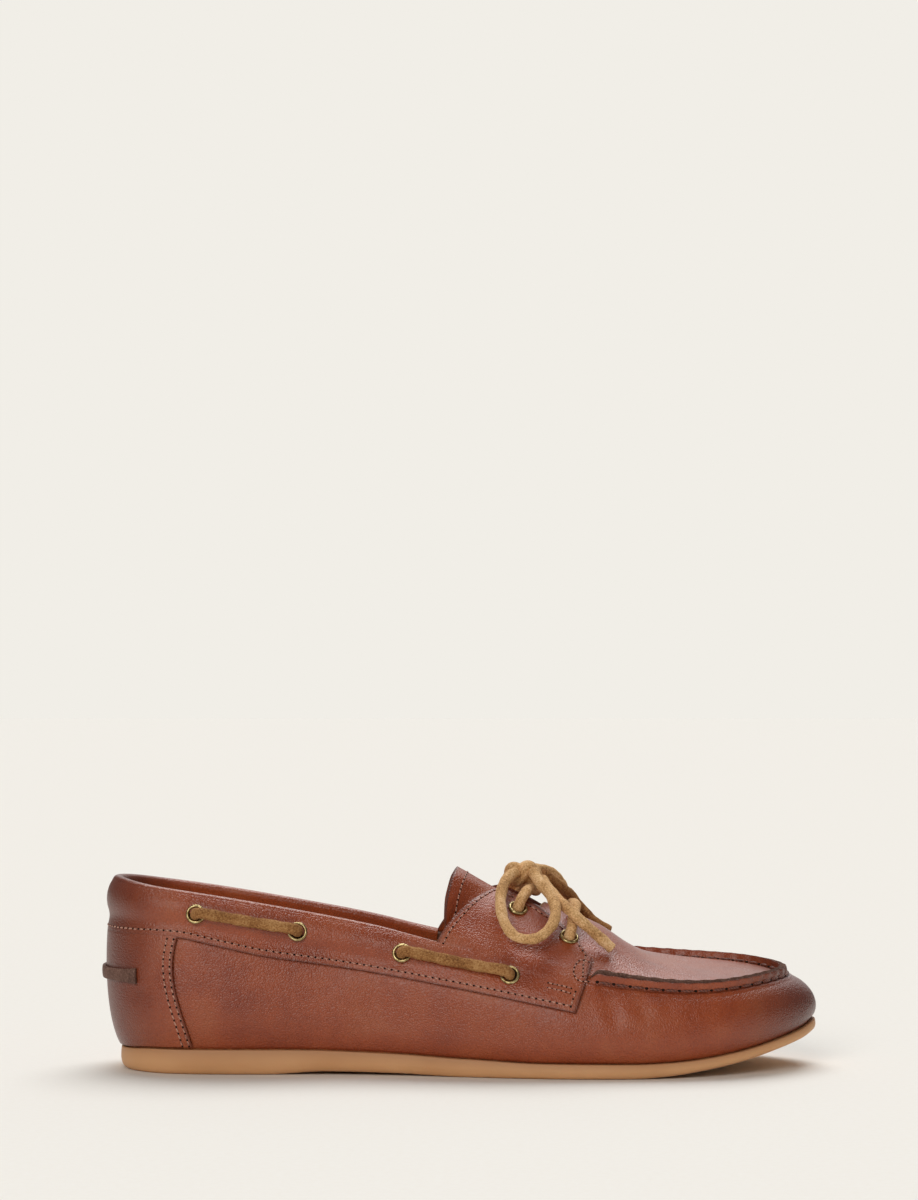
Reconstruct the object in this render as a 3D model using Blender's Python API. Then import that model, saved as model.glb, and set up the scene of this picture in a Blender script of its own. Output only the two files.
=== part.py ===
"""A leather boat shoe for the right foot, standing empty on its sole.

The toe points along +X, the outer (lateral) side of the foot is -Y, and the floor is Z = 0.
Every piece is lofted on one skin function, which follows the last round the foot: from the
back of the heel along the lateral side, round the toe and back along the medial side.
"""

import collections
import math

import bmesh
import bpy
import numpy as np
from mathutils import Matrix, Vector

# Driving sizes of the last, in metres
SOLE_LENGTH = 0.260
BALL_WIDTH = 0.084
HEEL_HEIGHT = 0.070
INSTEP_HEIGHT = 0.066
TOE_HEIGHT = 0.036

# Sole
SOLE_THICKNESS = 0.0092
SOLE_MARGIN = 0.0012
ARCH_LIFT = 0.0012
TOE_SPRING = 0.013

# Leather
UPPER_WALL = 0.0015
OVERLAY_THICKNESS = 0.0013
COLLAR_PADDING = 0.0009
RIDGE_HEIGHT = 0.0033
RIDGE_WIDTH = 0.0026
RIDGE_LEAN = 0.3
INSOLE_THICKNESS = 0.003
TONGUE_THICKNESS = 0.0018
STRAP_WIDTH = 0.0037
STRAP_END_WIDTH = 0.0056
STRAP_THICKNESS = 0.0014

# Brass and lace
EYELET_DIAMETER = 0.0073
EYELET_BORE = 0.0049
EYELET_BRIM = 0.0008
EYELET_WALL = 0.0003
LACE_DIAMETER = 0.0040
BOW_SPAN = 0.030

# Clearances between pieces that meet
GAP = 0.0003
CURVED_GAP = 0.00035
INSOLE_GAP = 0.0004
TONGUE_GAP = 0.0007

SIDES = {-1: "lateral", 1: "medial"}
HEIGHTS = {"heel": HEEL_HEIGHT, "instep": INSTEP_HEIGHT, "toe": TOE_HEIGHT}

# One row for each station round the last, from the back of the heel, past the lateral side,
# the toe and the medial side. Along is a share of the sole's length, across of the ball's
# width, up of the named height. Swell is how far the wall's lower handle stands out, of the
# ball's width. Belly and pull are handle lengths, of the wall's height, and lean is the
# wall's slope at its top, in degrees.
Station = collections.namedtuple(
    "Station", "foot_along foot_across swell belly lean pull top_along top_across top_up height"
)
STATIONS = (
    Station(0.005, 0.000, 0.084, 0.16, 77, 0.30, -0.006, 0.000, 0.994, "heel"),
    Station(0.017, -0.173, 0.079, 0.16, 75, 0.30, 0.011, -0.143, 0.984, "heel"),
    Station(0.054, -0.290, 0.070, 0.17, 73, 0.31, 0.044, -0.238, 0.961, "heel"),
    Station(0.123, -0.343, 0.064, 0.19, 70, 0.31, 0.112, -0.280, 0.923, "heel"),
    Station(0.231, -0.351, 0.062, 0.21, 68, 0.32, 0.231, -0.288, 0.850, "heel"),
    Station(0.354, -0.369, 0.060, 0.23, 66, 0.32, 0.346, -0.296, 0.770, "heel"),
    Station(0.481, -0.429, 0.064, 0.24, 57, 0.33, 0.454, -0.340, 0.683, "heel"),
    Station(0.608, -0.498, 0.076, 0.26, 52, 0.34, 0.585, -0.411, 0.606, "instep"),
    Station(0.731, -0.505, 0.081, 0.28, 40, 0.36, 0.700, -0.429, 0.521, "instep"),
    Station(0.835, -0.440, 0.077, 0.28, 26, 0.38, 0.808, -0.411, 0.872, "toe"),
    Station(0.915, -0.315, 0.071, 0.28, 16, 0.42, 0.885, -0.315, 0.894, "toe"),
    Station(0.973, -0.137, 0.064, 0.29, 9, 0.50, 0.937, -0.125, 0.925, "toe"),
    Station(0.995, 0.060, 0.062, 0.31, 6, 0.58, 0.956, 0.048, 0.939, "toe"),
    Station(0.975, 0.208, 0.064, 0.29, 9, 0.50, 0.942, 0.185, 0.961, "toe"),
    Station(0.923, 0.351, 0.069, 0.28, 16, 0.42, 0.900, 0.310, 0.986, "toe"),
    Station(0.838, 0.456, 0.071, 0.28, 27, 0.38, 0.819, 0.375, 1.011, "toe"),
    Station(0.723, 0.481, 0.066, 0.28, 42, 0.36, 0.708, 0.376, 0.580, "instep"),
    Station(0.596, 0.405, 0.055, 0.27, 54, 0.34, 0.592, 0.351, 0.636, "instep"),
    Station(0.469, 0.310, 0.050, 0.26, 58, 0.33, 0.454, 0.315, 0.683, "heel"),
    Station(0.346, 0.281, 0.052, 0.25, 66, 0.32, 0.346, 0.288, 0.770, "heel"),
    Station(0.231, 0.310, 0.057, 0.22, 68, 0.32, 0.231, 0.286, 0.850, "heel"),
    Station(0.123, 0.333, 0.063, 0.19, 70, 0.31, 0.112, 0.279, 0.923, "heel"),
    Station(0.054, 0.288, 0.070, 0.17, 73, 0.31, 0.044, 0.238, 0.961, "heel"),
    Station(0.017, 0.173, 0.079, 0.16, 75, 0.30, 0.011, 0.143, 0.984, "heel"),
)
ROUND = len(STATIONS)
TIP = ROUND // 2
THROAT = 6

# The line down the middle of the instep and toe: along, across and up, of the named height
SpineRow = collections.namedtuple("SpineRow", "along across up height")
SPINE = (
    SpineRow(0.542, 0.000, 1.008, "instep"),
    SpineRow(0.615, 0.006, 0.917, "instep"),
    SpineRow(0.688, 0.014, 0.798, "instep"),
    SpineRow(0.731, 0.019, 0.686, "instep"),
    SpineRow(0.765, 0.023, 1.122, "toe"),
    SpineRow(0.815, 0.030, 1.044, "toe"),
    SpineRow(0.885, 0.046, 1.005, "toe"),
)
# Where the sections of the stations from the throat to the tip meet that line, along
SPINE_MEETS = (0.569, 0.615, 0.715, 0.792, 0.842, 0.871, 0.882)
DOME_PULL = 0.30
SPINE_PULL = 0.36

# The sole from heel to toe: along, thickness, and shares of the arch lift and the toe spring
SoleRow = collections.namedtuple("SoleRow", "along thickness arch spring")
SOLE = (
    SoleRow(0.000, 0.89, 0.0, 0.00),
    SoleRow(0.060, 1.00, 0.0, 0.00),
    SoleRow(0.210, 1.00, 0.0, 0.00),
    SoleRow(0.300, 0.85, 1.0, 0.00),
    SoleRow(0.400, 0.79, 0.7, 0.00),
    SoleRow(0.490, 0.74, 0.0, 0.00),
    SoleRow(0.600, 0.61, 0.0, 0.00),
    SoleRow(0.730, 0.59, 0.0, 0.00),
    SoleRow(0.780, 0.55, 0.0, 0.06),
    SoleRow(0.830, 0.49, 0.0, 0.19),
    SoleRow(0.885, 0.45, 0.0, 0.39),
    SoleRow(0.935, 0.42, 0.0, 0.64),
    SoleRow(0.973, 0.44, 0.0, 0.84),
    SoleRow(1.000, 0.50, 0.0, 1.00),
)
# The side of the sole from its top edge down: how far out, of the thickness, and how high
SOLE_SIDE = (
    (0.000, 1.00),
    (0.045, 0.80),
    (0.055, 0.45),
    (0.000, 0.18),
    (-0.130, 0.04),
    (-0.330, 0.00),
)

# The lower edge of the collar band: along, and height of the heel's height
BAND_EDGE = (
    (-0.04, 0.722),
    (0.05, 0.721),
    (0.086, 0.714),
    (0.14, 0.674),
    (0.209, 0.619),
    (0.3, 0.572),
    (0.403, 0.512),
    (0.504, 0.446),
    (0.604, 0.374),
    (0.647, 0.342),
    (0.72, 0.27),
)
# The front edge of the eyestay: height of the instep's height, and along
EYESTAY_FRONT = ((0.36, 0.647), (0.62, 0.672), (0.75, 0.678))
# The facing's edge: share of the way from throat to front edge, and of the way up to the spine
FACING = ((0.0, 0.80), (0.35, 0.76), (0.65, 0.64), (0.85, 0.46), (1.0, 0.24))
# The padding of the collar: share of the band's height, and of the padding's thickness
COLLAR_ROLL = ((0.0, 0.0), (0.1, 0.0), (0.28, 1.0), (0.82, 1.0), (1.0, 0.4))
# Where the padding fades out, along
ROLL_END = (0.36, 0.52)
# The counter's front edge: height of the heel's height, and along
COUNTER_FRONT = ((0.13, 0.112), (0.337, 0.0945), (0.461, 0.0855), (0.71, 0.0888))
# How far up the wall the counter starts, clear of the sole's edge
COUNTER_START = 0.035

# The tongue's rear edge, from its side to its middle: share up the dome, along, across, up
TONGUE_REAR = (
    (0.34, 0.467, -0.258, 0.795),
    (0.50, 0.468, -0.236, 0.912),
    (0.70, 0.473, -0.176, 1.023),
    (0.85, 0.479, -0.100, 1.101),
    (1.00, 0.483, 0.000, 1.1285),
)
# Where the tongue's front end lies under the upper, as a place round the last
TONGUE_FRONT = 7.5

# The moccasin seam starts to stand up at this place round the last
RIDGE_START = 7.78

# The throat slot ends at this share of the way along the spine, and starts this far up the dome
SLOT_END = 7.0
SLOT_EDGE = 0.80

# Eyelets on the wall: along, and height of the heel's height
SIDE_EYELETS = ((0.114, 0.829), (0.257, 0.736), (0.406, 0.628), (0.557, 0.522))
# Eyelets on the facing: along, and height of the instep's height
FACING_EYELETS = ((0.568, 0.889), (0.640, 0.737))

# The heel strap: height of the heel's height, and how far it reaches round, along
STRAP_UP = 0.500
STRAP_REACH = 0.027

# A lace in an eyelet: how far along from the eyelet's middle, and how high over the leather
LACE_RISE = ((0.0, -0.0012), (0.0, 0.0006), (0.0005, 0.0024), (0.0019, 0.00355), (0.004, 0.0037))
LACE_LOW = 0.0024
# Where a lace has come half the way down from its eyelet, as a share of its run or half bar
RUN_DIP = 0.24
BAR_RISE = 0.5
BAR_DIP = 0.78
# How high the laces' middles cross the middle line, over the upper's skin
UPPER_BAR_LIFT = 0.0032
LOWER_BAR_LIFT = 0.0026

# The knot's size, and its middle from the middle of the upper bar, of the bow's span
KNOT_SIZE = (0.493, 0.433, 0.287)
KNOT_PLACE = (-0.162, -0.012, 0.203)
# The free lace from the knot outwards, as points from the middle of the upper bar: shares of
# the bow's span along, across and up
LOOP_LATERAL = (
    (-0.050, -0.238, 0.238),
    (0.032, -0.440, 0.110),
    (0.158, -0.660, -0.030),
    (0.212, -0.880, -0.187),
    (0.160, -1.080, -0.360),
    (-0.030, -1.208, -0.505),
    (-0.278, -1.195, -0.487),
    (-0.418, -1.045, -0.320),
    (-0.462, -0.812, -0.100),
    (-0.428, -0.562, 0.080),
    (-0.345, -0.345, 0.190),
    (-0.262, -0.255, 0.233),
)
LOOP_MEDIAL = (
    (-0.022, 0.198, 0.240),
    (0.145, 0.392, 0.203),
    (0.298, 0.608, 0.073),
    (0.375, 0.828, -0.147),
    (0.305, 0.988, -0.377),
    (0.105, 1.088, -0.460),
    (-0.112, 1.022, -0.354),
    (-0.262, 0.838, -0.154),
    (-0.312, 0.605, 0.033),
    (-0.295, 0.372, 0.180),
    (-0.245, 0.228, 0.233),
)
END_LATERAL = (
    (0.062, -0.138, 0.136),
    (0.152, -0.352, 0.020),
    (0.265, -0.585, -0.097),
    (0.395, -0.845, -0.207),
    (0.528, -0.878, -0.327),
    (0.708, -0.822, -0.487),
    (0.905, -0.802, -0.667),
)
END_MEDIAL = (
    (0.085, 0.095, 0.190),
    (0.188, 0.168, 0.113),
    (0.288, 0.302, 0.026),
    (0.375, 0.475, -0.047),
    (0.458, 0.665, -0.134),
    (0.588, 0.682, -0.300),
    (0.755, 0.582, -0.460),
    (0.932, 0.622, -0.574),
)

# How finely the solids are divided
STEPS = 3
COLUMNS = ROUND * STEPS
WALL_ROWS = (0.0, 0.13, 0.28, 0.43, 0.58, 0.73, 0.87)
DOME_ROWS = (0.20, 0.42, 0.62, SLOT_EDGE, 1.0)
BAND_ROWS = (0.0, 0.10, 0.28, 0.55, 0.82, 1.0)
FACING_ROWS = (0.25, 0.5, 0.75, 1.0)
FACING_COLUMNS = 6
COUNTER_ROWS = (0.0, 0.18, 0.36, 0.54, 0.77, 1.0)
COUNTER_COLUMNS = 8
STRAP_COLUMNS = 6
TONGUE_COLUMNS = 5
TONGUE_STEPS = (0.0, 0.35, 0.7)
EYELET_SIDES = 12
TUBE_STEP = 0.0058

# Where the pieces' edges are looked for: shares up the wall, and pairs of stations
SHARES = np.linspace(0.0, 1.0, 61)
HEEL_PAIRS = np.arange(0.2, 5.0, 0.05)
FACING_PAIRS = np.arange(THROAT + 0.5, THROAT + 3.0, 0.05)
SEAT_PAIRS = np.arange(0.5, 9.0, 0.05)
SEAT_SHARES = np.arange(0.2, 2.0, 0.02)
# How far the second and third, finer searches for an eyelet's seat reach
SEAT_REACHES = (0.05, 0.004)
# The width round the last over which the skin's slope is taken
SLOPE_STEP = 0.02


def rounded_steps(positions, heights, at):
    """Heights read off a table, smooth and with no overshoot, and level at both ends."""
    positions = np.asarray(positions, float)
    heights = np.asarray(heights, float)
    gaps = np.diff(positions)
    rises = np.diff(heights) / gaps
    slopes = np.zeros(len(heights))
    for i in range(1, len(heights) - 1):
        before, after = rises[i - 1], rises[i]
        if before * after > 0:
            slopes[i] = 2 * before * after / (before + after)
    at = np.clip(at, positions[0], positions[-1])
    i = np.clip(np.searchsorted(positions, at, side="right") - 1, 0, len(gaps) - 1)
    t = (at - positions[i]) / gaps[i]
    start = (1 + 2 * t) * (1 - t) ** 2 * heights[i] + t * (1 - t) ** 2 * gaps[i] * slopes[i]
    end = t**2 * (3 - 2 * t) * heights[i + 1] + t**2 * (t - 1) * gaps[i] * slopes[i + 1]
    return start + end


def ring_slopes(knots, values):
    """Slopes at the knots of the smooth closed curve through the values."""
    count = len(values)
    gaps = np.diff(knots)
    matrix = np.zeros((count, count))
    right = np.zeros_like(values)
    for i in range(count):
        before, after = gaps[i - 1], gaps[i]
        following = (i + 1) % count
        matrix[i, i - 1] = after
        matrix[i, i] = 2 * (before + after)
        matrix[i, following] = before
        rise_before = (values[i] - values[i - 1]) / before
        rise_after = (values[following] - values[i]) / after
        right[i] = 3 * (after * rise_before + before * rise_after)
    return np.linalg.solve(matrix, right)


def station_values():
    """The stations as real lengths, one row each."""
    rows = []
    for s in STATIONS:
        foot = (s.foot_along * SOLE_LENGTH, s.foot_across * BALL_WIDTH)
        top = (s.top_along * SOLE_LENGTH, s.top_across * BALL_WIDTH, s.top_up * HEIGHTS[s.height])
        rows.append((*foot, s.swell * BALL_WIDTH, s.belly, math.radians(s.lean), s.pull, *top))
    return np.array(rows)


VALUES = station_values()
KNOTS = np.concatenate(
    [[0.0], np.cumsum(np.linalg.norm(np.roll(VALUES[:, :2], -1, 0) - VALUES[:, :2], axis=1))]
)
SLOPES = ring_slopes(KNOTS, VALUES)
SPINE_POINTS = np.array(
    [(r.along * SOLE_LENGTH, r.across * BALL_WIDTH, r.up * HEIGHTS[r.height]) for r in SPINE]
)


def sole_profile(x):
    """The heights of the sole's bottom and top edges at a place along it."""
    along = [row.along * SOLE_LENGTH for row in SOLE]
    thick = rounded_steps(along, [row.thickness for row in SOLE], x) * SOLE_THICKNESS
    arch = rounded_steps(along, [row.arch for row in SOLE], x) * ARCH_LIFT
    spring = rounded_steps(along, [row.spring for row in SOLE], x) * TOE_SPRING
    return arch + spring, arch + spring + thick


def ring(u):
    """The station values at places u round the last, and their change with u."""
    u = np.asarray(u, float) % ROUND
    i = np.minimum(np.floor(u).astype(int), ROUND - 1)
    after = (i + 1) % ROUND
    t = (u - i)[..., None]
    gap = (KNOTS[i + 1] - KNOTS[i])[..., None]
    a, b = VALUES[i], VALUES[after]
    da, db = SLOPES[i] * gap, SLOPES[after] * gap
    value = (1 + 2 * t) * (1 - t) ** 2 * a + t * (1 - t) ** 2 * da
    value = value + t**2 * (3 - 2 * t) * b + t**2 * (t - 1) * db
    change = 6 * t * (t - 1) * (a - b) + (1 - t) * (1 - 3 * t) * da + t * (3 * t - 2) * db
    return value, change


def outward(u):
    """The direction straight out from the foot's outline, level."""
    _, change = ring(u)
    side = np.stack([change[..., 1], -change[..., 0], np.zeros(change.shape[:-1])], axis=-1)
    return side / np.linalg.norm(side, axis=-1, keepdims=True)


def foot_point(u):
    """The feather line, where the wall meets the sole."""
    value, _ = ring(u)
    _, top = sole_profile(value[..., 0])
    return np.stack([value[..., 0], value[..., 1], top + GAP], axis=-1)


def top_point(u):
    """The top of the wall: the collar's edge, or the moccasin seam further forward."""
    value, _ = ring(u)
    return value[..., 6:9]


def spine_point(u):
    """Where the section at u meets the middle line, and that line's slope there."""
    u = np.asarray(u, float) % ROUND
    pair = np.clip(np.minimum(u, ROUND - u), THROAT, TIP)
    x = rounded_steps(np.arange(THROAT, TIP + 1), SPINE_MEETS, pair) * SOLE_LENGTH
    y = np.interp(x, SPINE_POINTS[:, 0], SPINE_POINTS[:, 1])
    z = rounded_steps(SPINE_POINTS[:, 0], SPINE_POINTS[:, 2], x)
    step = 0.001
    ahead = rounded_steps(SPINE_POINTS[:, 0], SPINE_POINTS[:, 2], x + step)
    behind = rounded_steps(SPINE_POINTS[:, 0], SPINE_POINTS[:, 2], x - step)
    return np.stack([x, y, z], axis=-1), (ahead - behind) / (2 * step)


def bezier(points, t):
    """A cubic Bezier curve at t."""
    a, b, c, d = points
    t = t[..., None]
    return (1 - t) ** 3 * a + 3 * t * (1 - t) ** 2 * b + 3 * t**2 * (1 - t) * c + t**3 * d


def wall_curve(u):
    """The four control points of the wall's section at u."""
    value, _ = ring(u)
    swell, belly, lean, pull = (value[..., k, None] for k in (2, 3, 4, 5))
    out = outward(u)
    up = np.array([0.0, 0.0, 1.0])
    foot, top = foot_point(u), top_point(u)
    rise = top[..., 2:3] - foot[..., 2:3]
    low = foot + out * swell + up * belly * rise
    high = top + (out * np.cos(lean) - up * np.sin(lean)) * pull * rise
    return foot, low, high, top


def dome_curve(u):
    """The four control points of the section from the seam to the middle line."""
    value, _ = ring(u)
    lean = value[..., 4, None]
    top = top_point(u)
    middle, slope = spine_point(u)
    level = (middle - top) * np.array([1.0, 1.0, 0.0])
    long = np.linalg.norm(level, axis=-1, keepdims=True)
    up = np.array([0.0, 0.0, 1.0])
    first = top + (level / long * np.cos(lean) + up * np.sin(lean)) * DOME_PULL * long
    second = middle - SPINE_PULL * level - up * (slope * SPINE_PULL * level[..., 0])[..., None]
    return top, first, second, middle


def skin(u, v):
    """A point of the upper's outer skin: v runs from 0 at the sole to 1 at the top of the wall and 2
    at the middle line."""
    u, v = np.broadcast_arrays(np.asarray(u, float), np.asarray(v, float))
    wall = bezier(wall_curve(u), np.clip(v, 0.0, 1.0))
    dome = bezier(dome_curve(u), np.clip(v - 1.0, 0.0, 1.0))
    return np.where((v > 1.0)[..., None], dome, wall)


def skin_normal(u, v):
    """The outward direction of the skin."""
    u, v = np.broadcast_arrays(np.asarray(u, float), np.asarray(v, float))
    step = SLOPE_STEP
    along = skin(u + step, v) - skin(u - step, v)
    low = np.where(v > 1.0, np.maximum(v - step, 1.0001), np.clip(v - step, 0.0, 1.0))
    high = np.where(v > 1.0, np.minimum(v + step, 2.0), np.clip(v + step, 0.0, 1.0))
    upward = skin(u, high) - skin(u, low)
    normal = np.cross(along, upward)
    _, slope = spine_point(u)
    level = np.stack([-slope, np.zeros_like(slope), np.ones_like(slope)], axis=-1)
    normal = np.where((v > 1.97)[..., None], level, normal)
    return normal / np.linalg.norm(normal, axis=-1, keepdims=True)


def raised(u, v, lift):
    """A point at some distance from the skin."""
    return skin(u, v) + skin_normal(u, v) * np.asarray(lift, float)[..., None]


def material(name, colour, roughness, metallic=0.0):
    """A plain Principled material."""
    made = bpy.data.materials.new(name)
    made.use_nodes = True
    shader = made.node_tree.nodes["Principled BSDF"]
    shader.inputs["Base Color"].default_value = (*colour, 1.0)
    shader.inputs["Roughness"].default_value = roughness
    shader.inputs["Metallic"].default_value = metallic
    return made


def centre():
    """The middle of the shoe's box on the floor, which becomes the origin."""
    u, v = np.meshgrid(np.arange(0, ROUND, 0.1), np.linspace(0, 1, 21))
    points = skin(u, v)
    back = points[..., 0].min() - 2 * CURVED_GAP - OVERLAY_THICKNESS - STRAP_THICKNESS
    low, high = points[..., 1].min(), points[..., 1].max()
    return Vector(((back + points[..., 0].max()) / 2, (low + high) / 2, 0.0))


ORIGIN = centre()


def add_object(name, bm, finish):
    """A named object from a bmesh, placed so that the shoe's middle is the origin."""
    bmesh.ops.translate(bm, verts=bm.verts, vec=-ORIGIN)
    mesh = bpy.data.meshes.new(name)
    bm.to_mesh(mesh)
    bm.free()
    mesh.shade_smooth()
    mesh.set_sharp_from_angle(angle=math.radians(40))
    mesh.materials.append(finish)
    obj = bpy.data.objects.new(name, mesh)
    bpy.context.scene.collection.objects.link(obj)
    return obj


def close_wall(faces, outer, inner):
    """A closed wall between a sheet's outer points and its inner ones."""
    bm = bmesh.new()
    used = sorted({key for face in faces for key in face}, key=str)
    top = {key: bm.verts.new(outer[key]) for key in used}
    low = {key: bm.verts.new(inner[key]) for key in used}
    edges = set()
    for face in faces:
        bm.faces.new([top[key] for key in face])
        bm.faces.new([low[key] for key in reversed(face)])
        edges.update(zip(face, face[1:] + face[:1]))
    for a, b in edges:
        if (b, a) not in edges:
            bm.faces.new((top[b], top[a], low[a], low[b]))
    return bm


def strip_cap(bm, ring_verts, upward):
    """Closes a ring of vertices round the foot with strips from side to side."""
    count = len(ring_verts)
    for k in range(count // 2):
        corners = [
            ring_verts[k],
            ring_verts[k + 1],
            ring_verts[(-k - 1) % count],
            ring_verts[-k % count],
        ]
        corners = list(dict.fromkeys(corners))
        bm.faces.new(corners if upward else corners[::-1])


def make_slab(levels):
    """A solid slab from rings of points round the foot, from the lowest to the highest."""
    bm = bmesh.new()
    rings = [[bm.verts.new(point) for point in level] for level in levels]
    for lower, upper in zip(rings, rings[1:]):
        for k in range(len(lower)):
            following = (k + 1) % len(lower)
            bm.faces.new((lower[k], lower[following], upper[following], upper[k]))
    strip_cap(bm, rings[0], False)
    strip_cap(bm, rings[-1], True)
    return bm


def ring_places():
    """The places of the columns round the last."""
    return np.arange(COLUMNS) / STEPS


def make_outsole(finish):
    """The moulded sole: true outline, rounded lower edge, arch and toe spring."""
    u = ring_places()
    foot, out = foot_point(u), outward(u)
    bottom, top = sole_profile(foot[:, 0])
    levels = []
    for share_out, share_up in reversed(SOLE_SIDE):
        level = foot + out * (SOLE_MARGIN + share_out * SOLE_THICKNESS)
        level[:, 2] = bottom + (top - bottom) * share_up
        levels.append(level)
    return add_object("outsole", make_slab(levels), finish)


def make_insole(finish):
    """The padded sock inside the wall, on the sole."""
    u = ring_places()
    edge = foot_point(u) - outward(u) * (UPPER_WALL + INSOLE_GAP)
    _, top = sole_profile(edge[:, 0])
    levels = []
    for lift in (GAP, GAP + INSOLE_THICKNESS):
        level = edge.copy()
        level[:, 2] = top + lift
        levels.append(level)
    return add_object("insole", make_slab(levels), finish)


def ridge_share(u):
    """How much of the raised seam stands at u: none under the eyestay."""
    pair = np.minimum(u, ROUND - u)
    return np.clip((pair - RIDGE_START) * STEPS, 0.0, 1.0)


def seam_rows():
    """The rows across the moccasin seam: distance from its middle and share of its height."""
    half = RIDGE_WIDTH / 2
    skirt = half + 0.15 * RIDGE_HEIGHT
    return ((-skirt, 0.0), (-half, 0.88), (0.0, 1.0), (half, 0.88), (skirt, 0.0))


def upper_rows(u):
    """The outer and inner points of the upper's rows round the last, from the sole up."""
    rows = [(skin(u, v), raised(u, v, -UPPER_WALL)) for v in WALL_ROWS]
    _, _, high, top = wall_curve(u)
    _, first, _, _ = dome_curve(u)
    below = (top - high) / np.linalg.norm(top - high, axis=-1, keepdims=True)
    above = (first - top) / np.linalg.norm(first - top, axis=-1, keepdims=True)
    normal = skin_normal(u, 1.0)
    lift = (outward(u) * RIDGE_LEAN + np.array([0.0, 0.0, 1.0])) * RIDGE_HEIGHT
    for reach, share in seam_rows():
        base = top + (below if reach < 0 else above) * reach
        height = (share * ridge_share(u))[:, None]
        rows.append((base + lift * height, base - normal * UPPER_WALL))
    for v in DOME_ROWS:
        rows.append((skin(u, 1 + v), raised(u, 1 + v, -UPPER_WALL)))
    return rows


def make_upper(finish):
    """The hollow upper: one wall, open at the collar, at the throat slot and underneath."""
    collar_row = len(WALL_ROWS) + 2
    slot_row = collar_row + 2 + DOME_ROWS.index(SLOT_EDGE) + 1
    last_row = collar_row + 2 + len(DOME_ROWS)
    outer, inner = {}, {}

    def key(column, row):
        column %= COLUMNS
        return (min(column, COLUMNS - column) if row == last_row else column, row)

    for row, (outside, inside) in enumerate(upper_rows(ring_places())):
        for column in range(COLUMNS):
            outer[key(column, row)] = outside[column]
            inner[key(column, row)] = inside[column]
    faces = []
    for column in range(COLUMNS):
        pair = min(column, COLUMNS - column - 1) / STEPS
        for row in range(last_row):
            if row >= collar_row and pair < THROAT:
                continue
            if row >= slot_row and pair < SLOT_END:
                continue
            corners = ((column, row), (column + 1, row), (column + 1, row + 1), (column, row + 1))
            faces.append(tuple(key(*corner) for corner in corners))
    return add_object("upper", close_wall(faces, outer, inner), finish)


def smooth_line(points, step):
    """Points about a step apart on the smooth curve through a list of points."""
    points = np.array(points, float)
    padded = np.vstack([2 * points[0] - points[1], points, 2 * points[-1] - points[-2]])
    line = []
    for a, b, c, d in zip(padded, padded[1:], padded[2:], padded[3:]):
        count = max(1, round(np.linalg.norm(c - b) / step))
        for t in np.arange(count) / count:
            line.append(
                b
                + (c - a) * t / 2
                + (a - 2.5 * b + 2 * c - d / 2) * t**2
                + (1.5 * b - a / 2 - 1.5 * c + d / 2) * t**3
            )
    line.append(points[-1])
    return np.array(line)


def make_tube(name, points, diameter, finish):
    """A round tube with closed ends along a smooth curve through the points."""
    line = smooth_line(points, TUBE_STEP) - np.array(ORIGIN)
    curve = bpy.data.curves.new(name, "CURVE")
    curve.dimensions = "3D"
    curve.bevel_depth = diameter / 2
    curve.bevel_resolution = 2
    curve.use_fill_caps = True
    spline = curve.splines.new("POLY")
    spline.points.add(len(line) - 1)
    for point, place in zip(spline.points, line):
        point.co = (*place, 1.0)
    curve.materials.append(finish)
    obj = bpy.data.objects.new(name, curve)
    bpy.context.scene.collection.objects.link(obj)
    return obj


def along_table(rows, at):
    """A table of two columns read at a place."""
    return np.interp(at, [row[0] for row in rows], [row[1] for row in rows])


def band_edge(x):
    """The height of the collar band's lower edge."""
    return rounded_steps(
        [row[0] * SOLE_LENGTH for row in BAND_EDGE], [row[1] * HEEL_HEIGHT for row in BAND_EDGE], x
    )


def where_passed(rising):
    """The shares up the wall at which rising values, one for each of SHARES, pass zero."""
    above = np.maximum(np.argmax(rising > 0, axis=-1), 1)[..., None]
    low = np.take_along_axis(rising, above - 1, -1)
    high = np.take_along_axis(rising, above, -1)
    part = np.clip(-low / (high - low), 0.0, 1.0)
    return (SHARES[above - 1] + (SHARES[above] - SHARES[above - 1]) * part)[..., 0]


def edge_share(u, drop=0.0):
    """How far up the wall at u the collar band's lower edge is, less a drop."""
    points = skin(np.asarray(u)[..., None], SHARES)
    return where_passed(points[..., 2] - band_edge(points[..., 0]) + drop)


def share_at_height(u, height):
    """How far up the wall at u a height is reached."""
    points = skin(np.asarray(u)[..., None], SHARES)
    return where_passed(points[..., 2] - np.asarray(height)[..., None])


def side_place(pair, side):
    """The place round the last of a station's pair, on the lateral (-1) or medial (+1) side."""
    return np.asarray(pair, float) if side < 0 else (ROUND - np.asarray(pair, float)) % ROUND


def crossing(side, pairs, share_of, edge_of):
    """The pair at which a row of a piece meets its front edge."""
    u = side_place(pairs, side)
    points = skin(u, share_of(u))
    return np.interp(0.0, points[:, 0] - edge_of(points[:, 2]), pairs)


def eyestay_front(height):
    """How far along the eyestay's front edge is at a height."""
    rows = [(up * INSTEP_HEIGHT, along * SOLE_LENGTH) for up, along in EYESTAY_FRONT]
    return along_table(rows, height)


def counter_front(height):
    """How far along the counter's front edge is at a height."""
    rows = [(up * HEEL_HEIGHT, along * SOLE_LENGTH) for up, along in COUNTER_FRONT]
    return along_table(rows, height)


def band_share(u, share):
    """A row of the band's wall, as a share up the skin."""
    low = edge_share(u)
    return low + (1.0 - low) * share


def band_lift(u, share):
    """How far the band's outer face stands off the skin, with the collar's padding."""
    fade = [along * SOLE_LENGTH for along in ROLL_END]
    padding = np.interp(top_point(u)[..., 0], fade, [1.0, 0.0]) * COLLAR_PADDING
    return CURVED_GAP + OVERLAY_THICKNESS + padding * along_table(COLLAR_ROLL, share)


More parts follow.
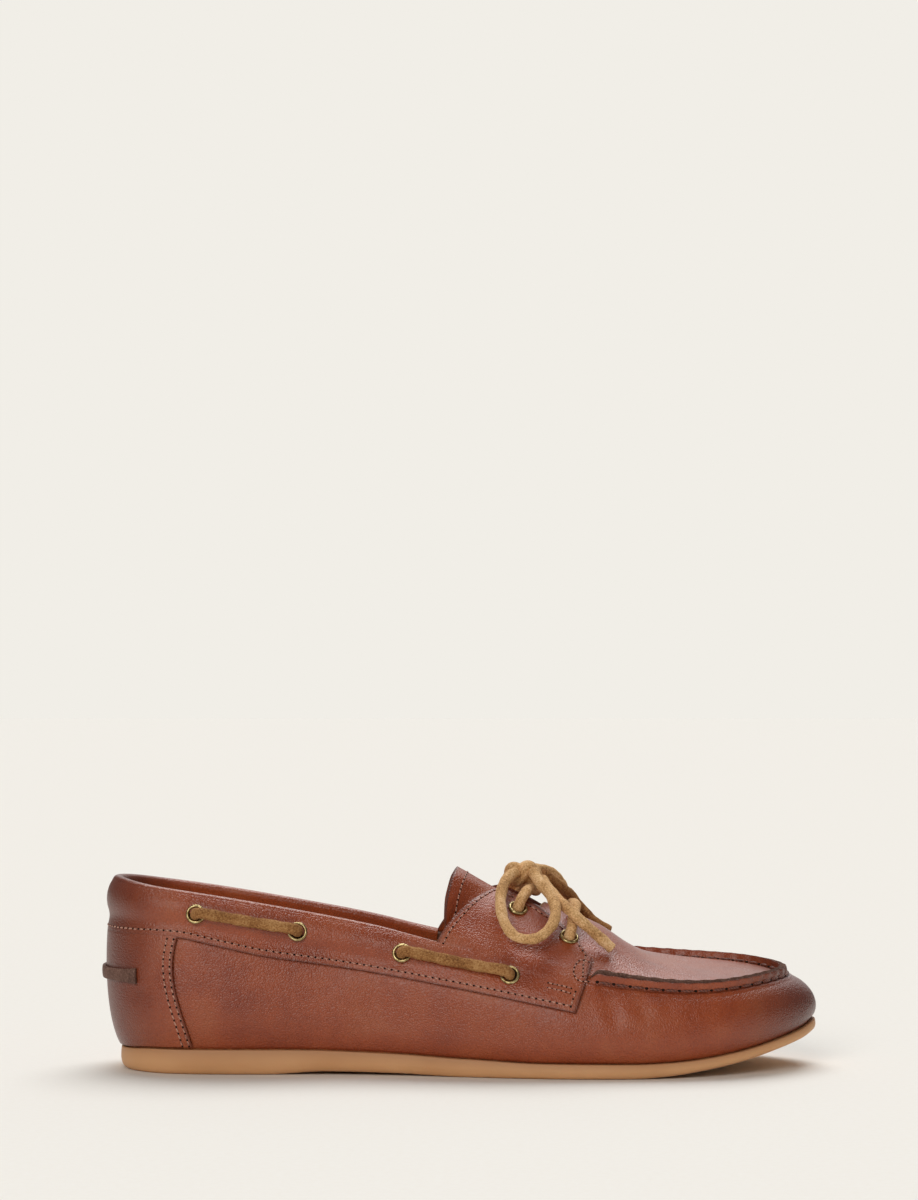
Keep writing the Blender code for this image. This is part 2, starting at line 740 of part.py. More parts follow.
def band_columns(side):
    """The columns of the band on one side, from the heel forward: for each row the place, the share
    up the skin and the outer lift. Columns behind the throat have no facing rows."""
    rows, facing_rows = np.array(BAND_ROWS), np.array(FACING_ROWS)
    columns = []
    for step in range(THROAT * STEPS):
        u = np.full(len(rows), side_place(step / STEPS, side))
        columns.append((u, band_share(u, rows), band_lift(u, rows)))
    end = FACING[-1][1]
    shares = [lambda u, row=row: band_share(u, row) for row in rows]
    shares += [lambda u, row=row: 1.0 + end * row for row in facing_rows]
    fronts = np.array([crossing(side, FACING_PAIRS, share, eyestay_front) for share in shares])
    for step in range(FACING_COLUMNS + 1):
        forward = step / FACING_COLUMNS
        u = side_place(THROAT + (fronts - THROAT) * forward, side)
        low, high = u[: len(rows)], u[len(rows) :]
        reach = along_table(FACING, forward)
        v = np.concatenate([band_share(low, rows), 1.0 + reach * facing_rows])
        flat = np.full(len(high), CURVED_GAP + OVERLAY_THICKNESS)
        columns.append((u, v, np.concatenate([band_lift(low, rows), flat])))
    return columns


def make_collar_band(finish):
    """The overlay round the collar, with the padded roll and both facings, in one piece."""
    lateral, medial = band_columns(-1), band_columns(1)
    columns = medial[:0:-1] + lateral
    outer, inner, faces = {}, {}, []
    for j, (u, v, lift) in enumerate(columns):
        faces_out = raised(u, v, lift)
        faces_in = raised(u, v, np.full(len(u), CURVED_GAP))
        for row in range(len(u)):
            outer[j, row], inner[j, row] = faces_out[row], faces_in[row]
            if j and 0 < row < len(columns[j - 1][0]):
                faces.append(((j - 1, row - 1), (j, row - 1), (j, row), (j - 1, row)))
    return add_object("collar_band", close_wall(faces, outer, inner), finish)


def sheet_object(name, places, inner_lift, outer_lift, finish):
    """A piece of leather from a grid of places on the skin, column by column."""
    u, v = np.array([place[0] for place in places]), np.array([place[1] for place in places])
    outside = raised(u, v, np.full(u.shape, outer_lift))
    inside = raised(u, v, np.full(u.shape, inner_lift))
    return sheet_between(name, outside, inside, finish)


def sheet_between(name, outside, inside, finish):
    """A piece of leather between two grids of points, column by column."""
    outer, inner, faces = {}, {}, []
    for j in range(outside.shape[0]):
        for row in range(outside.shape[1]):
            outer[j, row], inner[j, row] = outside[j, row], inside[j, row]
            if j and row:
                faces.append(((j - 1, row - 1), (j, row - 1), (j, row), (j - 1, row)))
    return add_object(name, close_wall(faces, outer, inner), finish)


def make_heel_counter(finish):
    """The leather piece round the heel, below the collar band."""

    def share(u, row):
        return COUNTER_START + (edge_share(u, CURVED_GAP) - COUNTER_START) * row

    rows = np.array(COUNTER_ROWS)
    fronts = {
        side: np.array(
            [
                crossing(side, HEEL_PAIRS, lambda u, row=row: share(u, row), counter_front)
                for row in rows
            ]
        )
        for side in (-1, 1)
    }
    places = []
    for step in range(-COUNTER_COLUMNS, COUNTER_COLUMNS + 1):
        side = 1 if step < 0 else -1
        u = side_place(fronts[side] * abs(step) / COUNTER_COLUMNS, side)
        places.append((u, share(u, rows)))
    return sheet_object("heel_counter", places, CURVED_GAP, CURVED_GAP + OVERLAY_THICKNESS, finish)


def make_heel_strap(finish):
    """The narrow strap across the back of the heel, flared at its ends."""
    level = STRAP_UP * HEEL_HEIGHT
    reach = {
        side: crossing(
            side,
            HEEL_PAIRS,
            lambda u: share_at_height(u, level),
            lambda height: STRAP_REACH * SOLE_LENGTH,
        )
        for side in (-1, 1)
    }
    places = []
    for step in range(-STRAP_COLUMNS, STRAP_COLUMNS + 1):
        side = 1 if step < 0 else -1
        part = abs(step) / STRAP_COLUMNS
        half = (STRAP_WIDTH + (STRAP_END_WIDTH - STRAP_WIDTH) * part**3) / 2
        u = np.full(3, side_place(reach[side] * part, side))
        places.append((u, share_at_height(u, level + half * np.array([-1.0, 0.0, 1.0]))))
    base = 2 * CURVED_GAP + OVERLAY_THICKNESS
    return sheet_object("heel_strap", places, base, base + STRAP_THICKNESS, finish)


def grid_normals(grid):
    """The normals of a grid of points, columns first."""
    normal = np.cross(np.gradient(grid, axis=0), np.gradient(grid, axis=1))
    return normal / np.linalg.norm(normal, axis=-1, keepdims=True)


def tongue_grid():
    """The tongue's outer face: from its rear edge, over the throat, to its end under the upper."""
    shares = [row[0] for row in TONGUE_REAR]
    v = 1 + np.array(shares + shares[-2::-1])
    lift = np.full(len(v), -UPPER_WALL - TONGUE_GAP)
    columns = []
    for pair in np.linspace(THROAT, TONGUE_FRONT, TONGUE_COLUMNS):
        u = [side_place(pair, -1)] * len(shares) + [side_place(pair, 1)] * (len(shares) - 1)
        columns.append(raised(np.array(u), v, lift))
    rear = []
    for _, along, across, up in TONGUE_REAR:
        rear.append(np.array([along * SOLE_LENGTH, across * BALL_WIDTH, up * INSTEP_HEIGHT]))
    rear += [point * np.array([1, -1, 1]) for point in rear[-2::-1]]
    throat = columns[0]
    between = [rear + (throat - rear) * part for part in TONGUE_STEPS]
    return np.array(between + columns)


def make_tongue(finish):
    """The tongue under the facings."""
    grid = tongue_grid()
    under = grid - grid_normals(grid) * TONGUE_THICKNESS
    return sheet_between("tongue", grid, under, finish)


def seat_on_skin(along, up, side):
    """The place on the skin at a length and height, on one side."""
    pairs, shares = SEAT_PAIRS, SEAT_SHARES
    for width in SEAT_REACHES:
        places = pairs if side < 0 else ROUND - pairs
        u, v = np.meshgrid(places, shares, indexing="ij")
        points = skin(u, v)
        away = (points[..., 0] - along) ** 2 + (points[..., 2] - up) ** 2
        i, j = np.unravel_index(away.argmin(), away.shape)
        pairs = pairs[i] + np.linspace(-width, width, 21)
        shares = shares[j] + np.linspace(-width, width, 21) / 2
    return float(u[i, j]), float(v[i, j])


def eyelet_seats(side):
    """The seats of one side's eyelets, from the heel forward and then up the facing: the place on
    the skin and how high the leather's face is there."""
    seats = []
    for along, up in SIDE_EYELETS:
        u, v = seat_on_skin(along * SOLE_LENGTH, up * HEEL_HEIGHT, side)
        low = edge_share(u)
        seats.append((u, v, float(band_lift(u, (v - low) / (1.0 - low)))))
    for along, up in FACING_EYELETS:
        u, v = seat_on_skin(along * SOLE_LENGTH, up * INSTEP_HEIGHT, side)
        seats.append((u, v, CURVED_GAP + OVERLAY_THICKNESS))
    return seats


def eyelet_frame(u, v, lift):
    """The place and turn of an eyelet whose local zero is the leather's face."""
    normal = Vector(skin_normal(u, v))
    turn = normal.to_track_quat("Z", "X")
    place = Vector(raised(u, v, lift)) - ORIGIN
    return Matrix.LocRotScale(place, turn, None)


def eyelet_mesh(depth):
    """A turned eyelet: a brim on the leather and a barrel down to a depth."""
    bore, barrel, brim = EYELET_BORE / 2, EYELET_BORE / 2 + EYELET_WALL, EYELET_DIAMETER / 2
    profile = (
        (bore, -depth),
        (barrel, -depth),
        (barrel, GAP),
        (brim, GAP),
        (brim - EYELET_WALL, GAP + EYELET_BRIM),
        (bore, GAP + EYELET_BRIM),
    )
    bm = bmesh.new()
    rings = []
    for k in range(EYELET_SIDES):
        angle = 2 * math.pi * k / EYELET_SIDES
        rings.append(
            [bm.verts.new((r * math.cos(angle), r * math.sin(angle), z)) for r, z in profile]
        )
    for k in range(EYELET_SIDES):
        here, there = rings[k], rings[(k + 1) % EYELET_SIDES]
        for i in range(len(profile)):
            j = (i + 1) % len(profile)
            bm.faces.new((here[i], there[i], there[j], here[j]))
    mesh = bpy.data.meshes.new("eyelet")
    bm.to_mesh(mesh)
    bm.free()
    mesh.shade_smooth()
    mesh.set_sharp_from_angle(angle=math.radians(40))
    return mesh


def cut_hole(target, name, frame, below):
    """Cuts a round hole for an eyelet's barrel."""
    radius = EYELET_BORE / 2 + EYELET_WALL + GAP
    bm = bmesh.new()
    bmesh.ops.create_cone(
        bm, cap_ends=True, segments=EYELET_SIDES, radius1=radius, radius2=radius, depth=2 * below
    )
    mesh = bpy.data.meshes.new(name)
    bm.to_mesh(mesh)
    bm.free()
    cutter = bpy.data.objects.new(name, mesh)
    cutter.matrix_world = frame
    cutter.hide_render = True
    cutter.display_type = "WIRE"
    bpy.context.scene.collection.objects.link(cutter)
    modifier = target.modifiers.new(name, "BOOLEAN")
    modifier.operation = "DIFFERENCE"
    modifier.solver = "EXACT"
    modifier.object = cutter


def make_eyelets(seats, band, upper, brass):
    """Six eyelets on each side, each in its own hole."""
    shallow = eyelet_mesh(OVERLAY_THICKNESS)
    deep = eyelet_mesh(OVERLAY_THICKNESS + CURVED_GAP + UPPER_WALL - GAP)
    shallow.materials.append(brass)
    deep.materials.append(brass)
    for side, word in SIDES.items():
        for number, seat in enumerate(seats[side], start=1):
            through = number > len(SIDE_EYELETS)
            frame = eyelet_frame(*seat)
            obj = bpy.data.objects.new(f"eyelet_{word}_{number}", deep if through else shallow)
            obj.matrix_world = frame
            bpy.context.scene.collection.objects.link(obj)
            cut_hole(band, f"band_hole_{word}_{number}", frame, 1.8 * OVERLAY_THICKNESS)
            if through:
                cut_hole(upper, f"upper_hole_{word}_{number}", frame, 5 * OVERLAY_THICKNESS)


def lace_points(start, end, middle_lift):
    """The points of a lace from one eyelet to another over the leather. Each end is a place on the
    skin and the leather's height there; the middle's height is its own."""
    u, v = np.array([start[0], end[0]]), np.array([start[1], end[1]])
    span = np.linalg.norm(skin(start[0], start[1]) - skin(end[0], end[1]))
    points = []
    for reach, height in LACE_RISE:
        part = reach / span
        points.append((part, start[2] + height))
    points.append((RUN_DIP, start[2] + (LACE_RISE[-1][1] + LACE_LOW) / 2))
    middle = [(0.5, middle_lift)]
    back = [(1 - RUN_DIP, end[2] + (LACE_RISE[-1][1] + LACE_LOW) / 2)]
    back += [(1 - reach / span, end[2] + height) for reach, height in LACE_RISE[::-1]]
    places = points + middle + back
    return [
        raised(u[0] + (u[1] - u[0]) * part, v[0] + (v[1] - v[0]) * part, lift)
        for part, lift in places
    ]


def make_lace_runs(seats, finish):
    """Two straight runs along each side, each between two eyelets."""
    for side, word in SIDES.items():
        for number, (first, second) in enumerate(((0, 1), (2, 3)), start=1):
            a, b = seats[side][first], seats[side][second]
            points = lace_points(a, b, (a[2] + b[2]) / 2 + LACE_LOW)
            make_tube(f"lace_run_{word}_{number}", points, LACE_DIAMETER, finish)


def make_lace_bar(name, lateral, medial, crown_lift, finish):
    """A lace from a lateral eyelet over the middle line to the same medial one. It returns the
    middle of the lace."""
    crown = (lateral[0] + ROUND - medial[0]) / 2
    over = (LACE_RISE[-1][1] + LACE_LOW) / 2
    halves = []
    for side, (u, v, lift) in ((-1, lateral), (1, medial)):
        span = np.linalg.norm(skin(u, v) - skin(crown, 2.0))
        pair = u if side < 0 else ROUND - u
        rows = [(reach / span, lift + height) for reach, height in LACE_RISE]
        rows.append((BAR_RISE, (lift + over + LACE_RISE[-1][1] + lift) / 2))
        rows.append((BAR_DIP, (lift + over + crown_lift) / 2))
        halves.append(
            [
                raised(side_place(pair + (crown - pair) * part, side), v + (2 - v) * part, height)
                for part, height in rows
            ]
        )
    middle = raised(crown, 2.0, crown_lift)
    make_tube(name, halves[0] + [middle] + halves[1][::-1], LACE_DIAMETER, finish)
    return middle


def make_bow(middle, finish):
    """The knot, its two loops and its two ends, over the middle of the upper bar."""
    bm = bmesh.new()
    bmesh.ops.create_uvsphere(bm, u_segments=12, v_segments=8, radius=0.5)
    bmesh.ops.scale(bm, vec=Vector(KNOT_SIZE) * BOW_SPAN, verts=bm.verts)
    bmesh.ops.translate(bm, vec=Vector(middle) + Vector(KNOT_PLACE) * BOW_SPAN, verts=bm.verts)
    add_object("bow_knot", bm, finish)
    routes = {
        "bow_loop_lateral": LOOP_LATERAL,
        "bow_loop_medial": LOOP_MEDIAL,
        "lace_end_lateral": END_LATERAL,
        "lace_end_medial": END_MEDIAL,
    }
    for name, route in routes.items():
        make_tube(name, middle + np.array(route) * BOW_SPAN, LACE_DIAMETER, finish)


def clear_scene():
    """Removes whatever the scene holds."""
    for obj in list(bpy.data.objects):
        bpy.data.objects.remove(obj, do_unlink=True)


def main():
    """Builds the shoe."""
    clear_scene()
    rubber = material("gum_rubber", (0.42, 0.23, 0.13), 0.6)
    leather = material("pull_up_leather", (0.16, 0.045, 0.02), 0.45)
    lining = material("lining_leather", (0.55, 0.36, 0.2), 0.7)
    suede = material("suede_lace", (0.35, 0.17, 0.08), 0.9)
    brass = material("antique_brass", (0.35, 0.22, 0.1), 0.35, 1.0)
    make_outsole(rubber)
    make_insole(lining)
    upper = make_upper(leather)
    make_tongue(leather)
    make_heel_counter(leather)
    band = make_collar_band(leather)
    make_heel_strap(leather)
    seats = {side: eyelet_seats(side) for side in SIDES}
    make_eyelets(seats, band, upper, brass)
    make_lace_runs(seats, suede)
    make_lace_bar("lace_bar_lower", seats[-1][5], seats[1][5], LOWER_BAR_LIFT, suede)
    middle = make_lace_bar("lace_bar_upper", seats[-1][4], seats[1][4], UPPER_BAR_LIFT, suede)
    make_bow(middle, suede)


main()
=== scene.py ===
"""A leather boat shoe for the right foot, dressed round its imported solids.

The toe points along +X, the outer (lateral) side of the foot is -Y and the floor is Z = 0.
Every piece is laid on one skin function, the same as the solids', which follows the last
round the foot: from the back of the heel along the lateral side, round the toe and back along
the medial side. Lengths are in metres, and in the shoe's own frame X starts at the back of the
sole.
"""

import logging
import math
from dataclasses import dataclass, field
from enum import Enum
from functools import partial
from typing import Callable, NamedTuple, Sequence

import bmesh
import bpy
import numpy as np
from mathutils import Matrix, Vector


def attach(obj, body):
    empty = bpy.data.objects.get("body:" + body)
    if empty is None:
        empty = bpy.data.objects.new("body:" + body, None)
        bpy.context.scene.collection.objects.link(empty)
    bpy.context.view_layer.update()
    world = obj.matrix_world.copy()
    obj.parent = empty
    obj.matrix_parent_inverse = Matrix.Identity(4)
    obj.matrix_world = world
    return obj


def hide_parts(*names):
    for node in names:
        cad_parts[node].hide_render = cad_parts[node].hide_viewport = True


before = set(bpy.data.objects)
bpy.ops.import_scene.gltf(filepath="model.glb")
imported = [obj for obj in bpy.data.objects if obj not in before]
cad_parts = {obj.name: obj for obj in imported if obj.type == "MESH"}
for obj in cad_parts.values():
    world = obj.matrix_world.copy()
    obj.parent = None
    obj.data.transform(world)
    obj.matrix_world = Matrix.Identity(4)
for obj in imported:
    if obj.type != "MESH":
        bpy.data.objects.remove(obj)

LOG = logging.getLogger("boat_shoe")
Array = np.ndarray
BMesh = bmesh.types.BMesh
Material = bpy.types.Material
Socket = bpy.types.NodeSocket
Tree = bpy.types.NodeTree
MM = 0.001
# Points nearer than this are one
TOUCHING = 0.001 * MM
UP = np.array([0.0, 0.0, 1.0])

# The middle of the shoe's box on the floor, in the shoe's own frame
ORIGIN = np.array([0.126423, -0.001371, 0.0])
# The middle of the upper lace bar, which the bow is placed from
BAR_MIDDLE = np.array([0.15535, 0.00035, 0.06581])


class Side(Enum):
    """The two sides of the foot, with the sign of Y on each."""

    LATERAL = -1
    MEDIAL = 1


class Station(NamedTuple):
    """One section of the last: shares of the sole's length, the ball's width or a height."""

    foot_along: float
    foot_across: float
    swell: float
    belly: float
    lean: float
    pull: float
    top_along: float
    top_across: float
    top_up: float
    height: str


STATIONS = (
    Station(0.005, 0.000, 0.084, 0.16, 77, 0.30, -0.006, 0.000, 0.994, "heel"),
    Station(0.017, -0.173, 0.079, 0.16, 75, 0.30, 0.011, -0.143, 0.984, "heel"),
    Station(0.054, -0.290, 0.070, 0.17, 73, 0.31, 0.044, -0.238, 0.961, "heel"),
    Station(0.123, -0.343, 0.064, 0.19, 70, 0.31, 0.112, -0.280, 0.923, "heel"),
    Station(0.231, -0.351, 0.062, 0.21, 68, 0.32, 0.231, -0.288, 0.850, "heel"),
    Station(0.354, -0.369, 0.060, 0.23, 66, 0.32, 0.346, -0.296, 0.770, "heel"),
    Station(0.481, -0.429, 0.064, 0.24, 57, 0.33, 0.454, -0.340, 0.683, "heel"),
    Station(0.608, -0.498, 0.076, 0.26, 52, 0.34, 0.585, -0.411, 0.606, "instep"),
    Station(0.731, -0.505, 0.081, 0.28, 40, 0.36, 0.700, -0.429, 0.521, "instep"),
    Station(0.835, -0.440, 0.077, 0.28, 26, 0.38, 0.808, -0.411, 0.872, "toe"),
    Station(0.915, -0.315, 0.071, 0.28, 16, 0.42, 0.885, -0.315, 0.894, "toe"),
    Station(0.973, -0.137, 0.064, 0.29, 9, 0.50, 0.937, -0.125, 0.925, "toe"),
    Station(0.995, 0.060, 0.062, 0.31, 6, 0.58, 0.956, 0.048, 0.939, "toe"),
    Station(0.975, 0.208, 0.064, 0.29, 9, 0.50, 0.942, 0.185, 0.961, "toe"),
    Station(0.923, 0.351, 0.069, 0.28, 16, 0.42, 0.900, 0.310, 0.986, "toe"),
    Station(0.838, 0.456, 0.071, 0.28, 27, 0.38, 0.819, 0.375, 1.011, "toe"),
    Station(0.723, 0.481, 0.066, 0.28, 42, 0.36, 0.708, 0.376, 0.580, "instep"),
    Station(0.596, 0.405, 0.055, 0.27, 54, 0.34, 0.592, 0.351, 0.636, "instep"),
    Station(0.469, 0.310, 0.050, 0.26, 58, 0.33, 0.454, 0.315, 0.683, "heel"),
    Station(0.346, 0.281, 0.052, 0.25, 66, 0.32, 0.346, 0.288, 0.770, "heel"),
    Station(0.231, 0.310, 0.057, 0.22, 68, 0.32, 0.231, 0.286, 0.850, "heel"),
    Station(0.123, 0.333, 0.063, 0.19, 70, 0.31, 0.112, 0.279, 0.923, "heel"),
    Station(0.054, 0.288, 0.070, 0.17, 73, 0.31, 0.044, 0.238, 0.961, "heel"),
    Station(0.017, 0.173, 0.079, 0.16, 75, 0.30, 0.011, 0.143, 0.984, "heel"),
)
ROUND = len(STATIONS)
TIP = ROUND // 2
THROAT = 6

# The line down the middle of the instep and toe: along, across, up, and the height it shares
SPINE = (
    (0.542, 0.000, 1.008, "instep"),
    (0.615, 0.006, 0.917, "instep"),
    (0.688, 0.014, 0.798, "instep"),
    (0.731, 0.019, 0.686, "instep"),
    (0.765, 0.023, 1.122, "toe"),
    (0.815, 0.030, 1.044, "toe"),
    (0.885, 0.046, 1.005, "toe"),
)
# Where the sections from the throat to the tip meet that line, along
SPINE_MEETS = (0.569, 0.615, 0.715, 0.792, 0.842, 0.871, 0.882)

# The sole from heel to toe: along, thickness, and shares of the arch lift and the toe spring
SOLE_ROWS = (
    (0.000, 0.89, 0.0, 0.00),
    (0.060, 1.00, 0.0, 0.00),
    (0.210, 1.00, 0.0, 0.00),
    (0.300, 0.85, 1.0, 0.00),
    (0.400, 0.79, 0.7, 0.00),
    (0.490, 0.74, 0.0, 0.00),
    (0.600, 0.61, 0.0, 0.00),
    (0.730, 0.59, 0.0, 0.00),
    (0.780, 0.55, 0.0, 0.06),
    (0.830, 0.49, 0.0, 0.19),
    (0.885, 0.45, 0.0, 0.39),
    (0.935, 0.42, 0.0, 0.64),
    (0.973, 0.44, 0.0, 0.84),
    (1.000, 0.50, 0.0, 1.00),
)

# The lower edge of the collar band: along, and height of the heel's height
BAND_EDGE = (
    (-0.04, 0.722),
    (0.05, 0.721),
    (0.086, 0.714),
    (0.14, 0.674),
    (0.209, 0.619),
    (0.3, 0.572),
    (0.403, 0.512),
    (0.504, 0.446),
    (0.604, 0.374),
    (0.647, 0.342),
    (0.72, 0.27),
)
# The eyestay's front edge: height of the instep's height, and along
EYESTAY_FRONT = ((0.36, 0.647), (0.62, 0.672), (0.75, 0.678))
# The facing's edge: share of the way from throat to front edge, and of the way up to the spine
FACING = ((0.0, 0.80), (0.35, 0.76), (0.65, 0.64), (0.85, 0.46), (1.0, 0.24))
# The counter's front edge: height of the heel's height, and along
COUNTER_FRONT = ((0.13, 0.112), (0.337, 0.0945), (0.461, 0.0855), (0.71, 0.0888))
# The tongue's rear edge, from side to middle: share up the dome, along, across, up
TONGUE_REAR = (
    (0.34, 0.467, -0.258, 0.795),
    (0.50, 0.468, -0.236, 0.912),
    (0.70, 0.473, -0.176, 1.023),
    (0.85, 0.479, -0.100, 1.101),
    (1.00, 0.483, 0.000, 1.1285),
)
# Eyelets: along, and height of the heel's or the instep's height
SIDE_EYELETS = ((0.114, 0.829), (0.257, 0.736), (0.406, 0.628), (0.557, 0.522))
FACING_EYELETS = ((0.568, 0.889), (0.640, 0.737))


def hermite(a: Array, b: Array, leave: Array, arrive: Array, t: Array) -> Array:
    """Reads the cubic from one value to another.

    Args:
        a: Its start.
        b: Its end.
        leave: Its slope at the start.
        arrive: Its slope at the end.
        t: How far along it to read, from 0 to 1.

    Returns:
        The value there.
    """
    start = (1 + 2 * t) * (1 - t) ** 2 * a + t * (1 - t) ** 2 * leave
    return start + t**2 * (3 - 2 * t) * b + t**2 * (t - 1) * arrive


def rounded_steps(positions: Sequence[float], heights: Sequence[float], at: Array) -> Array:
    """Reads a table smoothly and with no overshoot.

    Args:
        positions: Where the table's rows are, rising.
        heights: The value of each row.
        at: Where to read it.

    Returns:
        The values there, level beyond both ends.
    """
    x, y = np.asarray(positions, float), np.asarray(heights, float)
    gaps = np.diff(x)
    rises = np.diff(y) / gaps
    slopes = np.zeros(len(y))
    both = rises[:-1] * rises[1:] > 0
    total = np.where(both, rises[:-1] + rises[1:], 1.0)
    slopes[1:-1] = np.where(both, 2 * rises[:-1] * rises[1:] / total, 0.0)
    at = np.clip(at, x[0], x[-1])
    i = np.clip(np.searchsorted(x, at, side="right") - 1, 0, len(gaps) - 1)
    t = (at - x[i]) / gaps[i]
    return hermite(y[i], y[i + 1], gaps[i] * slopes[i], gaps[i] * slopes[i + 1], t)


def spline(rows: Array, at: Array) -> Array:
    """Reads the smooth curve through rows.

    Args:
        rows: The rows that it passes.
        at: Where to read it, counted in rows.

    Returns:
        The values there, one row each.
    """
    rows = np.asarray(rows, float)
    padded = np.vstack([2 * rows[0] - rows[1], rows, 2 * rows[-1] - rows[-2]])
    i = np.clip(np.floor(at).astype(int), 0, len(rows) - 2)
    t = (at - i)[:, None]
    a, b, c, d = (padded[i + k] for k in range(4))
    square = (a - 2.5 * b + 2 * c - d / 2) * t**2
    return b + (c - a) * t / 2 + square + (1.5 * b - a / 2 - 1.5 * c + d / 2) * t**3


def distances(line: Array) -> Array:
    """How far along a line of points each of them is."""
    return np.concatenate([[0.0], np.cumsum(np.linalg.norm(np.diff(line, axis=0), axis=1))])


def smooth_line(points: Sequence[Sequence[float]], step: float) -> Array:
    """Draws a smooth curve through points.

    Args:
        points: The points that it passes.
        step: About how far apart the curve's own points are.

    Returns:
        The curve's points, one row each.
    """
    knots = np.array(points, float)
    at = [
        i + t
        for i, gap in enumerate(np.linalg.norm(np.diff(knots, axis=0), axis=1))
        for t in np.linspace(0, 1, max(2, round(gap / step) + 1))[:-1]
    ]
    return np.vstack([spline(knots, np.array(at)), knots[-1]])


def unit(vectors: Array) -> Array:
    """The vectors, each made one long."""
    return vectors / np.maximum(np.linalg.norm(vectors, axis=-1, keepdims=True), 1e-12)


def ramp(at: Array, low: float, high: float) -> Array:
    """How far from low to high each value is, from 0 to 1."""
    return np.clip((at - low) / (high - low), 0, 1)


def smoothstep(t: Array) -> Array:
    """An even ease from 0 to 1."""
    return t * t * (3 - 2 * t)


def bell(at: Array, middle: float, width: float) -> Array:
    """A smooth hump, 1 at its middle."""
    return np.exp(-(((at - middle) / width) ** 2))


def around(pair: Array | float, lateral: Array | bool) -> Array:
    """The place round the last of a station's pair, on the lateral or on the medial side."""
    pair = np.asarray(pair, float)
    return np.where(lateral, pair, (ROUND - pair) % ROUND)


def read_line(rows: Array, steps: Array, at: Array | float) -> Array:
    """A line's rows, or what goes with them, read at distances along it."""
    return np.stack([np.interp(at, steps, column) for column in rows.T], axis=-1)


